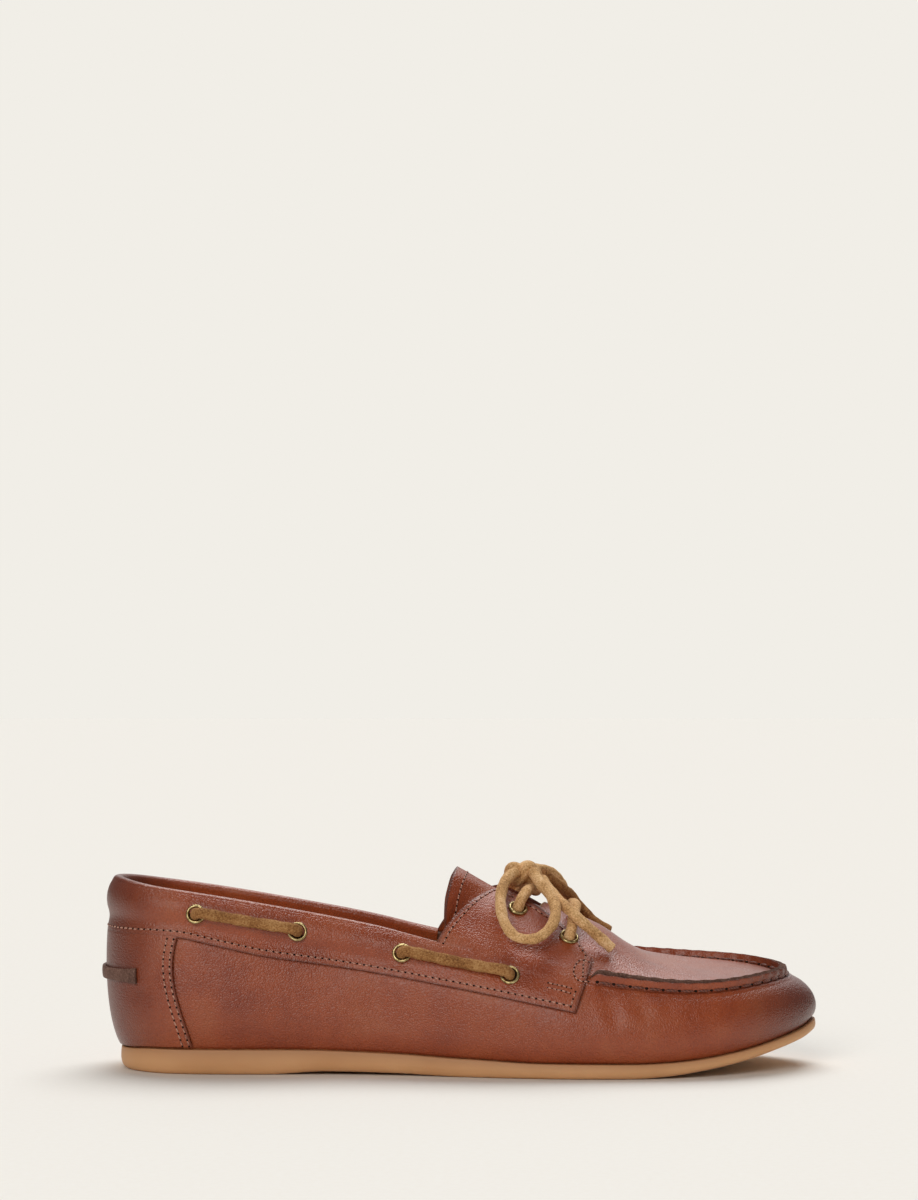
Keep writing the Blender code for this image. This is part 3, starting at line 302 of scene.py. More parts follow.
@dataclass
class Last:
    """The form that the shoe is built on, and the skin function of its upper."""

    sole_length: float = 0.260
    ball_width: float = 0.084
    heel_height: float = 0.070
    instep_height: float = 0.066
    toe_height: float = 0.036
    sole_thickness: float = 0.0092
    arch_lift: float = 0.0012
    toe_spring: float = 0.013
    gap: float = 0.0003
    dome_pull: float = 0.30
    spine_pull: float = 0.36
    collar_padding: float = 0.0009
    overlay: float = 0.0013
    overlay_gap: float = 0.00035
    ridge_start: float = 7.70
    values: Array = field(init=False)
    knots: Array = field(init=False)
    slopes: Array = field(init=False)
    spine: Array = field(init=False)
    edge_places: Array = field(init=False)
    edge_shares: Array = field(init=False)

    def __post_init__(self) -> None:
        """Works out the sections' real lengths, and the smooth closed curves through them."""
        heights = {"heel": self.heel_height, "instep": self.instep_height, "toe": self.toe_height}
        long, wide = self.sole_length, self.ball_width
        self.values = np.array(
            [
                (s.foot_along * long, s.foot_across * wide, s.swell * wide, s.belly)
                + (math.radians(s.lean), s.pull, s.top_along * long, s.top_across * wide)
                + (s.top_up * heights[s.height],)
                for s in STATIONS
            ]
        )
        flat = self.values[:, :2]
        gaps = np.linalg.norm(np.roll(flat, -1, 0) - flat, axis=1)
        self.knots = np.concatenate([[0.0], np.cumsum(gaps)])
        matrix = np.zeros((ROUND, ROUND))
        right = np.zeros_like(self.values)
        for i in range(ROUND):
            before, after, following = gaps[i - 1], gaps[i], (i + 1) % ROUND
            matrix[i, i - 1] = after
            matrix[i, i] = 2 * (before + after)
            matrix[i, following] = before
            rise_before = (self.values[i] - self.values[i - 1]) / before
            rise_after = (self.values[following] - self.values[i]) / after
            right[i] = 3 * (after * rise_before + before * rise_after)
        self.slopes = np.linalg.solve(matrix, right)
        self.spine = np.array([(a * long, b * wide, c * heights[h]) for a, b, c, h in SPINE])
        self.edge_places = np.linspace(0, ROUND, 481)
        shares = np.linspace(0, 1, 61)
        points = self.skin(self.edge_places[:, None], shares)
        rising = points[..., 2] - self.band_edge(points[..., 0])
        above = np.maximum(np.argmax(rising > 0, axis=-1), 1)
        rows = np.arange(len(above))
        low, high = rising[rows, above - 1], rising[rows, above]
        part = np.clip(-low / (high - low), 0, 1)
        self.edge_shares = shares[above - 1] + part * (shares[1] - shares[0])

    def sole_profile(self, x: Array) -> tuple[Array, Array]:
        """Reads the table of the sole.

        Args:
            x: Places along it.

        Returns:
            The heights of its bottom and its top edges there.
        """
        along = [row[0] * self.sole_length for row in SOLE_ROWS]
        thick, arch, spring = (
            rounded_steps(along, [row[k] for row in SOLE_ROWS], x) * size
            for k, size in ((1, self.sole_thickness), (2, self.arch_lift), (3, self.toe_spring))
        )
        return arch + spring, arch + spring + thick

    def ring(self, u: Array) -> tuple[Array, Array]:
        """Reads the sections' values smoothly.

        Args:
            u: Places round the last, counted in stations.

        Returns:
            The values there, and their change with u.
        """
        u = np.asarray(u, float) % ROUND
        i = np.minimum(np.floor(u).astype(int), ROUND - 1)
        after = (i + 1) % ROUND
        t = (u - i)[..., None]
        gap = (self.knots[i + 1] - self.knots[i])[..., None]
        a, b = self.values[i], self.values[after]
        da, db = self.slopes[i] * gap, self.slopes[after] * gap
        change = 6 * t * (t - 1) * (a - b) + (1 - t) * (1 - 3 * t) * da + t * (3 * t - 2) * db
        return hermite(a, b, da, db, t), change

    def outward(self, u: Array) -> Array:
        """The level direction straight out from the foot's outline."""
        _, change = self.ring(u)
        zero = np.zeros(change.shape[:-1])
        return unit(np.stack([change[..., 1], -change[..., 0], zero], axis=-1))

    def foot(self, u: Array) -> Array:
        """The feather line, where the wall meets the sole."""
        value, _ = self.ring(u)
        _, top = self.sole_profile(value[..., 0])
        return np.stack([value[..., 0], value[..., 1], top + self.gap], axis=-1)

    def top(self, u: Array) -> Array:
        """The top of the wall: the collar's edge, or the moccasin seam further forward."""
        return self.ring(u)[0][..., 6:9]

    def middle(self, u: Array) -> tuple[Array, Array]:
        """Finds where the sections meet the middle line.

        Args:
            u: Places round the last.

        Returns:
            The points on that line, and its slope there.
        """
        u = np.asarray(u, float) % ROUND
        pair = np.clip(np.minimum(u, ROUND - u), THROAT, TIP)
        x = rounded_steps(np.arange(THROAT, TIP + 1), SPINE_MEETS, pair) * self.sole_length
        y = np.interp(x, self.spine[:, 0], self.spine[:, 1])
        z, ahead, behind = (
            rounded_steps(self.spine[:, 0], self.spine[:, 2], x + step)
            for step in (0.0, MM, -MM)
        )
        return np.stack([x, y, z], axis=-1), (ahead - behind) / (2 * MM)

    def wall_curve(self, u: Array) -> tuple[Array, Array, Array, Array]:
        """Gives the wall's sections, from the sole to the top.

        Args:
            u: Places round the last.

        Returns:
            The four control points of each.
        """
        value, _ = self.ring(u)
        swell, belly, lean, pull = (value[..., k, None] for k in (2, 3, 4, 5))
        out = self.outward(u)
        foot, top = self.foot(u), self.top(u)
        rise = top[..., 2:3] - foot[..., 2:3]
        low = foot + out * swell + UP * belly * rise
        high = top + (out * np.cos(lean) - UP * np.sin(lean)) * pull * rise
        return foot, low, high, top

    def dome_curve(self, u: Array) -> tuple[Array, Array, Array, Array]:
        """Gives the sections over the toes, from the seam to the middle line.

        Args:
            u: Places round the last.

        Returns:
            The four control points of each.
        """
        lean = self.ring(u)[0][..., 4, None]
        top = self.top(u)
        middle, slope = self.middle(u)
        level = (middle - top) * np.array([1.0, 1.0, 0.0])
        long = np.linalg.norm(level, axis=-1, keepdims=True)
        rising = level / long * np.cos(lean) + UP * np.sin(lean)
        first = top + rising * self.dome_pull * long
        drop = UP * (slope * self.spine_pull * level[..., 0])[..., None]
        return top, first, middle - self.spine_pull * level - drop, middle

    def skin(self, u: Array, v: Array) -> Array:
        """Gives points of the upper's skin.

        Args:
            u: Places round the last.
            v: How far up: 0 at the sole, 1 at the wall's top and 2 at the middle line.

        Returns:
            The points.
        """
        u, v = np.broadcast_arrays(np.asarray(u, float), np.asarray(v, float))
        made = []
        for curve, t in ((self.wall_curve(u), v), (self.dome_curve(u), v - 1.0)):
            a, b, c, d = curve
            t = np.clip(t, 0.0, 1.0)[..., None]
            cubic = (1 - t) ** 3 * a + 3 * t * (1 - t) ** 2 * b + 3 * t**2 * (1 - t) * c
            made.append(cubic + t**3 * d)
        return np.where((v > 1.0)[..., None], made[1], made[0])

    def normal(self, u: Array, v: Array) -> Array:
        """Gives the outward directions of the skin.

        Args:
            u: Places round the last.
            v: How far up, as for skin.

        Returns:
            The directions, which turn to the middle line's own where the sections end on it.
        """
        u, v = np.broadcast_arrays(np.asarray(u, float), np.asarray(v, float))
        step = 0.02
        along = self.skin(u + step, v) - self.skin(u - step, v)
        dome = v > 1.0
        low = np.where(dome, np.maximum(v - step, 1.0001), np.clip(v - step, 0.0, 1.0))
        high = np.where(dome, np.minimum(v + step, 2.0), np.clip(v + step, 0.0, 1.0))
        normal = np.cross(along, self.skin(u, high) - self.skin(u, low))
        _, slope = self.middle(u)
        level = np.stack([-slope, np.zeros_like(slope), np.ones_like(slope)], axis=-1)
        share = ramp(v, 1.94, 1.98)[..., None]
        return unit(unit(normal) * (1 - share) + unit(level) * share)

    def raised(self, u: Array, v: Array, lift: Array | float) -> Array:
        """A point at some distance from the skin."""
        return self.skin(u, v) + self.normal(u, v) * np.asarray(lift, float)[..., None]

    def place(self, pair: Array | float, side: Side) -> Array:
        """The place round the last of a station's pair on one side."""
        return around(pair, side is Side.LATERAL)

    def band_edge(self, x: Array) -> Array:
        """The height of the collar band's lower edge."""
        rows = np.array(BAND_EDGE) * (self.sole_length, self.heel_height)
        return rounded_steps(rows[:, 0], rows[:, 1], x)

    def edge_share(self, u: Array) -> Array:
        """How far up the wall at u the collar band's lower edge is."""
        return np.interp(np.asarray(u, float) % ROUND, self.edge_places, self.edge_shares)

    def padding(self, u: Array) -> Array:
        """How much of the collar's padding there is at u, from 1 at the heel to 0."""
        return 1 - smoothstep(ramp(self.top(u)[..., 0] / self.sole_length, 0.36, 0.52))

    def band_face(self, u: Array, share: Array) -> Array:
        """How far the band's outer face stands off the skin at a share of its height."""
        roll = rounded_steps((0, 0.12, 0.34, 0.62, 0.86, 1), (0, 0, 0.75, 1.25, 1.0, 0.5), share)
        return self.overlay_gap + self.overlay + self.padding(u) * self.collar_padding * roll

    def seat(self, along: float, up: float, side: Side) -> tuple[float, float]:
        """Finds a place on the skin, by a grid of tries and two finer ones.

        Args:
            along: Its length from the heel.
            up: Its height.
            side: Its side of the foot.

        Returns:
            Its place round the last, and how far up it is.
        """
        pairs, shares = np.arange(0.5, 9.0, 0.05), np.arange(0.2, 2.0, 0.02)
        for width in (0.05, 0.004):
            u, v = np.meshgrid(self.place(pairs, side), shares, indexing="ij")
            points = self.skin(u, v)
            away = (points[..., 0] - along) ** 2 + (points[..., 2] - up) ** 2
            i, j = np.unravel_index(away.argmin(), away.shape)
            pairs = pairs[i] + np.linspace(-width, width, 21)
            shares = shares[j] + np.linspace(-width, width, 21) / 2
        return float(u[i, j]), float(v[i, j])

    def seats(self, side: Side) -> list[tuple[float, float, float]]:
        """The seats of one side's eyelets: the place on the skin and the leather's face there."""
        found = []
        for along, up in SIDE_EYELETS:
            u, v = self.seat(along * self.sole_length, up * self.heel_height, side)
            low = self.edge_share(u)
            found.append((u, v, float(self.band_face(u, (v - low) / (1 - low)))))
        for along, up in FACING_EYELETS:
            u, v = self.seat(along * self.sole_length, up * self.instep_height, side)
            found.append((u, v, self.overlay_gap + self.overlay))
        return found


def srgb(code: str) -> tuple[float, float, float, float]:
    """Turns an sRGB hex colour to the linear colour that Blender's sockets take."""
    parts = [int(code[i : i + 2], 16) / 255 for i in (1, 3, 5)]
    linear = [c / 12.92 if c <= 0.04045 else ((c + 0.055) / 1.055) ** 2.4 for c in parts]
    return (*linear, 1.0)


def fill(tree: Tree, node: bpy.types.Node, settings: dict) -> bpy.types.Node:
    """Gives a node its settings and links.

    Args:
        tree: The material's node tree.
        node: The node.
        settings: Names or numbers of inputs, or names of the node's own settings. A value is a
            number, a colour, a word, or another node's output, which is linked.

    Returns:
        The same node.
    """
    for key, value in settings.items():
        if isinstance(key, str) and key not in node.inputs:
            setattr(node, key, value)
        elif isinstance(value, Socket):
            tree.links.new(value, node.inputs[key])
        else:
            node.inputs[key].default_value = value
    return node


def add(tree: Tree, kind: str, settings: dict) -> bpy.types.Node:
    """Adds one node of a kind, with its settings and links."""
    return fill(tree, tree.nodes.new(kind), settings)


def add_ramp(
    tree: Tree, fac: Socket, stops: Sequence[tuple[float, str]]
) -> Socket:
    """Adds a colour ramp.

    Args:
        tree: The material's node tree.
        fac: What the ramp reads.
        stops: Pairs of a place from 0 to 1 and an sRGB hex colour.

    Returns:
        The ramp's colour output.
    """
    ramp = add(tree, "ShaderNodeValToRGB", {"Fac": fac})
    elements = ramp.color_ramp.elements
    while len(elements) < len(stops):
        elements.new(0.5)
    for element, (place, code) in zip(elements, stops):
        element.position = place
        element.color = srgb(code)
    return ramp.outputs["Color"]


def blend(
    tree: Tree, fac: object, a: object, b: object, how: str = "MIX"
) -> Socket:
    """Adds a mix of two colours.

    Args:
        tree: The material's node tree.
        fac: How much of the second, a number or an output.
        a: The first colour, a colour or an output.
        b: The second colour.
        how: The mix's blend type.

    Returns:
        The mixed colour's output.
    """
    kind = {"data_type": "RGBA", "blend_type": how}
    return add(tree, "ShaderNodeMix", {**kind, 0: fac, 6: a, 7: b}).outputs[2]


def start_material(name: str) -> tuple[Material, Tree, object, object]:
    """Starts a material.

    Args:
        name: Its name.

    Returns:
        The material, its tree, its Principled shader and the object's own coordinates.
    """
    made = bpy.data.materials.new(name)
    made.use_nodes = True
    tree = made.node_tree
    coords = add(tree, "ShaderNodeTexCoord", {}).outputs["Object"]
    return made, tree, tree.nodes["Principled BSDF"], coords


def add_noise(
    tree: Tree,
    coords: Socket,
    scale: float,
    detail: float = 2.0,
    rough: float = 0.5,
) -> bpy.types.Node:
    """Adds a noise texture, its scale in grains a metre."""
    settings = {"Vector": coords, "Scale": scale, "Detail": detail, "Roughness": rough}
    return add(tree, "ShaderNodeTexNoise", settings)


def add_bump(
    tree: Tree,
    height: Socket,
    strength: float,
    distance: float,
    invert: bool = False,
) -> Socket:
    """Adds a bump, its distance in metres, and gives its normal."""
    settings = {"Height": height, "Strength": strength, "Distance": distance, "invert": invert}
    return add(tree, "ShaderNodeBump", settings).outputs[0]


def add_math(
    tree: Tree, operation: str, *values: float | Socket
) -> Socket:
    """Adds one sum of numbers or outputs, and gives its result."""
    settings = {"operation": operation, **dict(enumerate(values))}
    return add(tree, "ShaderNodeMath", settings).outputs[0]


@dataclass(frozen=True)
class PullUpLeather:
    """Aniline pull-up leather, waxed and lightly tumbled.

    It gives the eye a warm brown that goes lighter where it is stretched, dark burnished ends,
    fine round pebbles of about 0.6 mm, and a soft wax gloss broken up by them.
    """

    name: str = "waxed_pull_up_leather"
    base: str = "#a14a24"
    deep: str = "#8b391b"
    stretched: str = "#ad5d36"
    burnish: str = "#58291f"
    # Dark rubbed cut edges, and painted shade in the moccasin seam's groove and along the foot of
    # the wall
    edge: str = "#4f241b"
    between_pebbles: str = "#c9c0bb"
    sheen_tint: str = "#d8b3a6"
    roughness: float = 0.33
    pebble: float = 0.60 * MM
    pebble_drift: float = 1.2 * MM
    relief: float = 0.26 * MM
    pore_share: float = 0.45
    burnish_share: float = 0.85
    # Where the burnish starts and is full, along, at the toe and at the heel
    burnished: tuple[tuple[float, float], ...] = ((0.092, 0.134), (-0.100, -0.134))

    def make(self) -> Material:
        """The leather's material."""
        made, tree, shader, coords = start_material(self.name)
        drift = add_noise(tree, coords, 260.0).outputs["Color"]
        shift = {"operation": "SCALE", 0: drift, "Scale": self.pebble_drift}
        shift = add(tree, "ShaderNodeVectorMath", shift).outputs[0]
        bent = add(tree, "ShaderNodeVectorMath", {"operation": "ADD", 0: coords, 1: shift})
        cells = {"feature": "SMOOTH_F1", "Vector": bent.outputs[0], "Scale": 1 / self.pebble}
        pebbles = add(tree, "ShaderNodeTexVoronoi", {**cells, "Smoothness": 0.6})
        pebbles = pebbles.outputs["Distance"]
        pores = add_noise(tree, coords, 2600.0).outputs["Fac"]
        relief = add_math(tree, "MULTIPLY_ADD", pores, self.pore_share, pebbles)
        cloud = add_noise(tree, coords, 42.0, 4.0, 0.6).outputs["Fac"]
        colour = add_ramp(
            tree, cloud, ((0.28, self.deep), (0.52, self.base), (0.80, self.stretched))
        )
        crumbs = add_ramp(tree, pebbles, ((0.0, "#ffffff"), (0.75, self.between_pebbles)))
        colour = blend(tree, 0.5, colour, crumbs, "MULTIPLY")
        along = add(tree, "ShaderNodeSeparateXYZ", {0: coords}).outputs["X"]
        for low, high in self.burnished:
            ends = {"Value": along, "From Min": low, "From Max": high}
            reach = add(tree, "ShaderNodeMapRange", {"interpolation_type": "SMOOTHSTEP", **ends})
            share = add_math(tree, "MULTIPLY", reach.outputs[0], self.burnish_share)
            colour = blend(tree, share, colour, srgb(self.burnish))
        # The attribute read here darkens rubbed cut edges and paints shade into the seam's groove
        # and along the foot of the wall
        wear_and_shade = add(tree, "ShaderNodeAttribute", {"attribute_name": "wear_and_shade"})
        clouds = {"Value": cloud, "From Min": 0.3, "From Max": 0.75}
        gloss = {"To Min": self.roughness - 0.05, "To Max": self.roughness + 0.09}
        fill(
            tree,
            shader,
            {
                "Base Color": blend(tree, wear_and_shade.outputs["Fac"], colour, srgb(self.edge)),
                "Roughness": add(tree, "ShaderNodeMapRange", {**clouds, **gloss}).outputs[0],
                "Normal": add_bump(tree, relief, 0.75, self.relief, invert=True),
                "IOR": 1.5,
                "Specular IOR Level": 0.5,
                "Coat Weight": 0.10,
                "Coat Roughness": 0.28,
                "Sheen Weight": 0.03,
                "Sheen Roughness": 0.4,
                "Sheen Tint": srgb(self.sheen_tint),
            },
        )
        return made


@dataclass(frozen=True)
class Napped:
    """A napped or matt leather: suede lace, lining, the insole's sock or the strap.

    The fibres give the eye a dry, mottled surface with small dark and light tufts and no gloss.
    """

    name: str
    base: str
    dark: str
    light: str
    tuft: float = 0.9 * MM
    relief: float = 0.22 * MM
    roughness: float = 0.9
    sheen: float = 0.3

    def make(self) -> Material:
        """The napped leather's material."""
        made, tree, shader, coords = start_material(self.name)
        tufts = add_noise(tree, coords, 1 / self.tuft, 3.0, 0.7).outputs["Fac"]
        cloud = add_noise(tree, coords, 110.0, 3.0).outputs["Fac"]
        mixed = add_math(tree, "MULTIPLY_ADD", cloud, 0.6, tufts)
        stops = ((0.60, self.dark), (0.80, self.base), (1.0, self.light))
        fill(
            tree,
            shader,
            {
                "Base Color": add_ramp(tree, mixed, stops),
                "Roughness": self.roughness,
                "Normal": add_bump(tree, tufts, 0.8, self.relief),
                "IOR": 1.45,
                "Specular IOR Level": 0.25,
                "Sheen Weight": self.sheen,
                "Sheen Roughness": 0.6,
                "Sheen Tint": srgb(self.light),
            },
        )
        return made


@dataclass(frozen=True)
class GumRubber:
    """Moulded gum rubber, matt from the mould and a little translucent.

    It gives the eye a warm honey tan, even and smooth, with faint flow clouds, and a darker brown
    painted toward the top of its side as the shade and reflection of the upper; under the foot it
    is cut with fine waved slits, drawn wider and further apart than the real ones so that they
    show, and darkened in colour as painted shade in them.
    """

    name: str = "moulded_gum_rubber"
    base: str = "#dba878"
    deep: str = "#cf9a6a"
    # Darker brown painted toward the top of the side: painted shade and reflection of the upper
    rim: str = "#b27f59"
    roughness: float = 0.55
    siped: bool = False
    skin_depth: float = 0.04 * MM
    slit_depth: float = 0.6 * MM

    def make(self) -> Material:
        """The rubber's material."""
        made, tree, shader, coords = start_material(self.name)
        cloud = add_noise(tree, coords, 30.0, 3.0).outputs["Fac"]
        colour = add_ramp(tree, cloud, ((0.3, self.deep), (0.6, self.base)))
        # Painted shade and reflection of the upper, read from an attribute that grows toward the
        # top of the side
        rim = add(tree, "ShaderNodeAttribute", {"attribute_name": "wear_and_shade"})
        colour = blend(tree, rim.outputs["Fac"], colour, srgb(self.rim))
        height, depth = add_noise(tree, coords, 1800.0).outputs["Fac"], self.skin_depth
        if self.siped:
            shape = {"wave_profile": "TRI", "Distortion": 2.2, "Detail": 0.0, "Detail Scale": 3.0}
            waves = add(tree, "ShaderNodeTexWave", {"Vector": coords, "Scale": 50.0, **shape})
            height, depth = (
                add_ramp(tree, waves.outputs["Fac"], ((0.10, "#000000"), (0.26, "#ffffff"))),
                self.slit_depth,
            )
            # Painted shade: the slits are darkened in colour as well as cut by the bump.
            colour = blend(tree, 0.65, colour, height, "MULTIPLY")
        fill(
            tree,
            shader,
            {
                "Base Color": colour,
                "Roughness": self.roughness,
                "Normal": add_bump(tree, height, 0.6, depth),
                "IOR": 1.5,
                "Specular IOR Level": 0.4,
                "Subsurface Weight": 0.12,
                "Subsurface Radius": (0.004, 0.002, 0.001),
                "Subsurface Scale": 0.6,
            },
        )
        return made


@dataclass(frozen=True)
class AntiqueBrass:
    """Cast brass, darkened in a bath and rubbed bright on its high places.

    It gives the eye a dull yellow-brown metal with small dark clouds in it.
    """

    name: str = "antique_brass"
    bright: str = "#c9b988"
    dark: str = "#7d6840"
    roughness: float = 0.33
    relief: float = 0.05 * MM

    def make(self) -> Material:
        """The brass's material."""
        made, tree, shader, coords = start_material(self.name)
        patina = add_noise(tree, coords, 700.0, 4.0).outputs["Fac"]
        gloss = {"To Min": self.roughness + 0.15, "To Max": self.roughness - 0.1}
        fill(
            tree,
            shader,
            {
                "Base Color": add_ramp(tree, patina, ((0.32, self.dark), (0.6, self.bright))),
                "Roughness": add(
                    tree, "ShaderNodeMapRange", {"Value": patina, **gloss}
                ).outputs[0],
                "Metallic": 1.0,
                "Normal": add_bump(tree, patina, 0.3, self.relief),
            },
        )
        return made


@dataclass(frozen=True)
class TwistedThread:
    """Bonded polyester thread, twisted from three plies and waxed.

    It gives the eye slanting ridges, drawn about 0.9 mm apart so that they show, and a low gloss.
    """

    name: str
    base: str
    dark: str
    roughness: float = 0.55
    relief: float = 0.1 * MM

    def make(self) -> Material:
        """The thread's material."""
        made, tree, shader, coords = start_material(self.name)
        twist = {"bands_direction": "DIAGONAL", "Scale": 400.0, "Distortion": 1.0}
        plies = add(tree, "ShaderNodeTexWave", {"Vector": coords, **twist}).outputs["Fac"]
        fill(
            tree,
            shader,
            {
                "Base Color": add_ramp(tree, plies, ((0.1, self.dark), (0.7, self.base))),
                "Roughness": self.roughness,
                "Normal": add_bump(tree, plies, 0.5, self.relief),
                "Sheen Weight": 0.15,
            },
        )
        return made


@dataclass(frozen=True)
class StudioSweep:
    """Matt painted paper: a pale, even floor with a barely seen tooth."""

    name: str = "pale_studio_floor"
    base: str = "#efece6"
    light: str = "#f1efea"

    def make(self) -> Material:
        """The floor's material."""
        made, tree, shader, coords = start_material(self.name)
        tooth = add_noise(tree, coords, 400.0).outputs["Fac"]
        colour = add_ramp(tree, tooth, ((0.2, self.base), (0.8, self.light)))
        settings = {"Base Color": colour, "Roughness": 0.95, "Specular IOR Level": 0.0}
        fill(tree, shader, settings)
        return made


LINING = Napped(
    "soft_lining_leather", "#dcb690", "#cda47c", "#e8c8a4", 0.5 * MM, 0.06 * MM, 0.75, 0.1
)
SUEDE = Napped("tan_suede_lace", "#cda06b", "#94683e", "#ecc79a", 0.62 * MM)
# Darker suede: rubbed nap on the lace runs, and painted shade on the medial end
RUBBED_AND_SHADED_SUEDE = Napped("rubbed_and_shaded_suede_lace", "#94653a", "#633d1f", "#b58a5a", 0.62 * MM)
STRAP = Napped(
    "dark_strap_leather", "#6b4d42", "#4c342c", "#86695d", 0.7 * MM, 0.12 * MM, 0.65, 0.1
)
# Painted shade for awl holes and eyelet bores
HOLE_SHADE = Napped("awl_hole_shadow", "#20100b", "#150a07", "#2c1710", 0.6 * MM, 0.05 * MM, 0.9, 0.0)


class Finishes:
    """All the shoe's materials, made once."""

    def __init__(self) -> None:
        """Makes them."""
        self.leather = PullUpLeather().make()
        self.lining, self.suede, self.rubbed_and_shaded_suede = LINING.make(), SUEDE.make(), RUBBED_AND_SHADED_SUEDE.make()
        self.strap = STRAP.make()
        self.rubber = GumRubber().make()
        self.tread = GumRubber(name="siped_gum_rubber", siped=True).make()
        self.brass = AntiqueBrass().make()
        self.thread = TwistedThread("brown_topstitch_thread", "#bd8a76", "#8a5646").make()
        self.cord_thread = TwistedThread("heavy_moccasin_thread", "#7c4434", "#4a251b").make()
        # Painted shade: the dark of the awl holes and of the eyelets' bores
        self.hole = HOLE_SHADE.make()
        # Outside, inside, and outside and inside of the standing seam, whose inside gets the dark
        # strap leather
        self.lined_leather = [self.leather, self.lining, self.leather, self.strap]

    def finish_leather(
        self, name: str, bm: BMesh, thickness: float, facing: tuple[float, float, float]
    ) -> None:
        """Makes a piece of plain upper leather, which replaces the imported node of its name.

        Args:
            name: The piece's name.
            bm: Its outer face, used up here.
            thickness: Its thickness.
            facing: A point inside the shoe that its face turns away from.
        """
        edges = Edges(thickness, 0.3 * MM)
        finish_piece(name, bm, [self.leather], [name], edges, facing)


def new_grid(
    columns: int, rows: int, place: Callable[[Array, Array], object], closed: bool = False
) -> BMesh:
    """Lays a bmesh grid on a surface.

    Args:
        columns: How many faces across.
        rows: How many faces up.
        place: Gives the points, and if it likes the wear and painted shade, for shares across and
            up.
        closed: Whether the first and the last column are the same, and are joined.

    Returns:
        The grid, moved to the object's frame, with each point's wear and painted shade, and how far
        up it is.
    """
    bm = bmesh.new()
    bmesh.ops.create_grid(bm, x_segments=columns, y_segments=rows, size=0.5)
    flat = np.array([vert.co[:2] for vert in bm.verts]) + 0.5
    found = place(flat[:, 0], flat[:, 1])
    points, wear_and_shade = found if isinstance(found, tuple) else (found, np.zeros(len(flat)))
    layer, level = bm.verts.layers.float.new("wear_and_shade"), bm.verts.layers.float.new("level")
    for vert, point, worn, up in zip(bm.verts, points - ORIGIN, wear_and_shade, flat[:, 1]):
        vert.co = point
        vert[layer] = worn
        vert[level] = up
    if closed:
        bmesh.ops.remove_doubles(bm, verts=bm.verts, dist=TOUCHING)
    return bm


def joined(parts: Sequence[BMesh]) -> BMesh:
    """Makes several bmeshes one.

    Args:
        parts: The bmeshes, of which all but the first are freed.

    Returns:
        The first, with all the others in it and the points that meet merged.
    """
    whole = parts[0]
    for part in parts[1:]:
        mesh = bpy.data.meshes.new("part")
        part.to_mesh(mesh)
        part.free()
        whole.from_mesh(mesh)
        bpy.data.meshes.remove(mesh)
    bmesh.ops.remove_doubles(whole, verts=whole.verts, dist=2 * TOUCHING)
    return whole


@dataclass
class Edges:
    """How a sheet of leather gets its thickness and its soft edges."""

    thickness: float
    bevel: float = 0.0
    inner_slot: int = 0
    rim_slot: int = 0


def finish_piece(
    name: str,
    bm: BMesh,
    materials: Sequence[Material],
    stands_for: Sequence[str] = (),
    edges: Edges | None = None,
    facing: tuple[float, float, float] | None = None,
) -> bpy.types.Object:
    """Makes the object of a finished piece, which rides on the shoe.

    Args:
        name: The piece's name.
        bm: Its mesh, used up here.
        materials: Its materials, in the order of their slots.
        stands_for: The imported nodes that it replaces.
        edges: Its thickness and soft edges, if it is a sheet.
        facing: A point inside the shoe that its faces turn away from, if it is an open sheet.

    Returns:
        The object.
    """
    if edges is None and facing is None:
        bmesh.ops.recalc_face_normals(bm, faces=bm.faces)
    if facing is not None:
        bm.normal_update()
        total = sum(
            (face.calc_center_median() - Vector(facing)).dot(face.normal) * face.calc_area()
            for face in bm.faces
        )
        if total < 0:
            bmesh.ops.reverse_faces(bm, faces=bm.faces)
    mesh = bpy.data.meshes.new(name)
    bm.to_mesh(mesh)
    bm.free()
    for made in materials:
        mesh.materials.append(made)
    mesh.shade_smooth()
    piece = bpy.data.objects.new(name, mesh)
    bpy.context.scene.collection.objects.link(piece)
    if edges:
        wall = piece.modifiers.new("leather thickness", "SOLIDIFY")
        wall.thickness = edges.thickness
        wall.offset = -1.0
        wall.use_even_offset = False
        wall.material_offset = edges.inner_slot
        wall.material_offset_rim = edges.rim_slot
        if edges.bevel:
            soft = piece.modifiers.new("rubbed edge", "BEVEL")
            soft.width = edges.bevel
            soft.segments = 2
            soft.limit_method = "ANGLE"
            soft.angle_limit = math.radians(50)
    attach(piece, "root")
    if stands_for:
        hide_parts(*stands_for)
    LOG.info("%s: %d faces", name, len(mesh.polygons))
    return piece


class Fold(NamedTuple):
    """A soft fold of the leather: its side, ends along and up, width and depth, in mm."""

    side: Side
    start: tuple[float, float]
    end: tuple[float, float]
    width: float
    depth: float


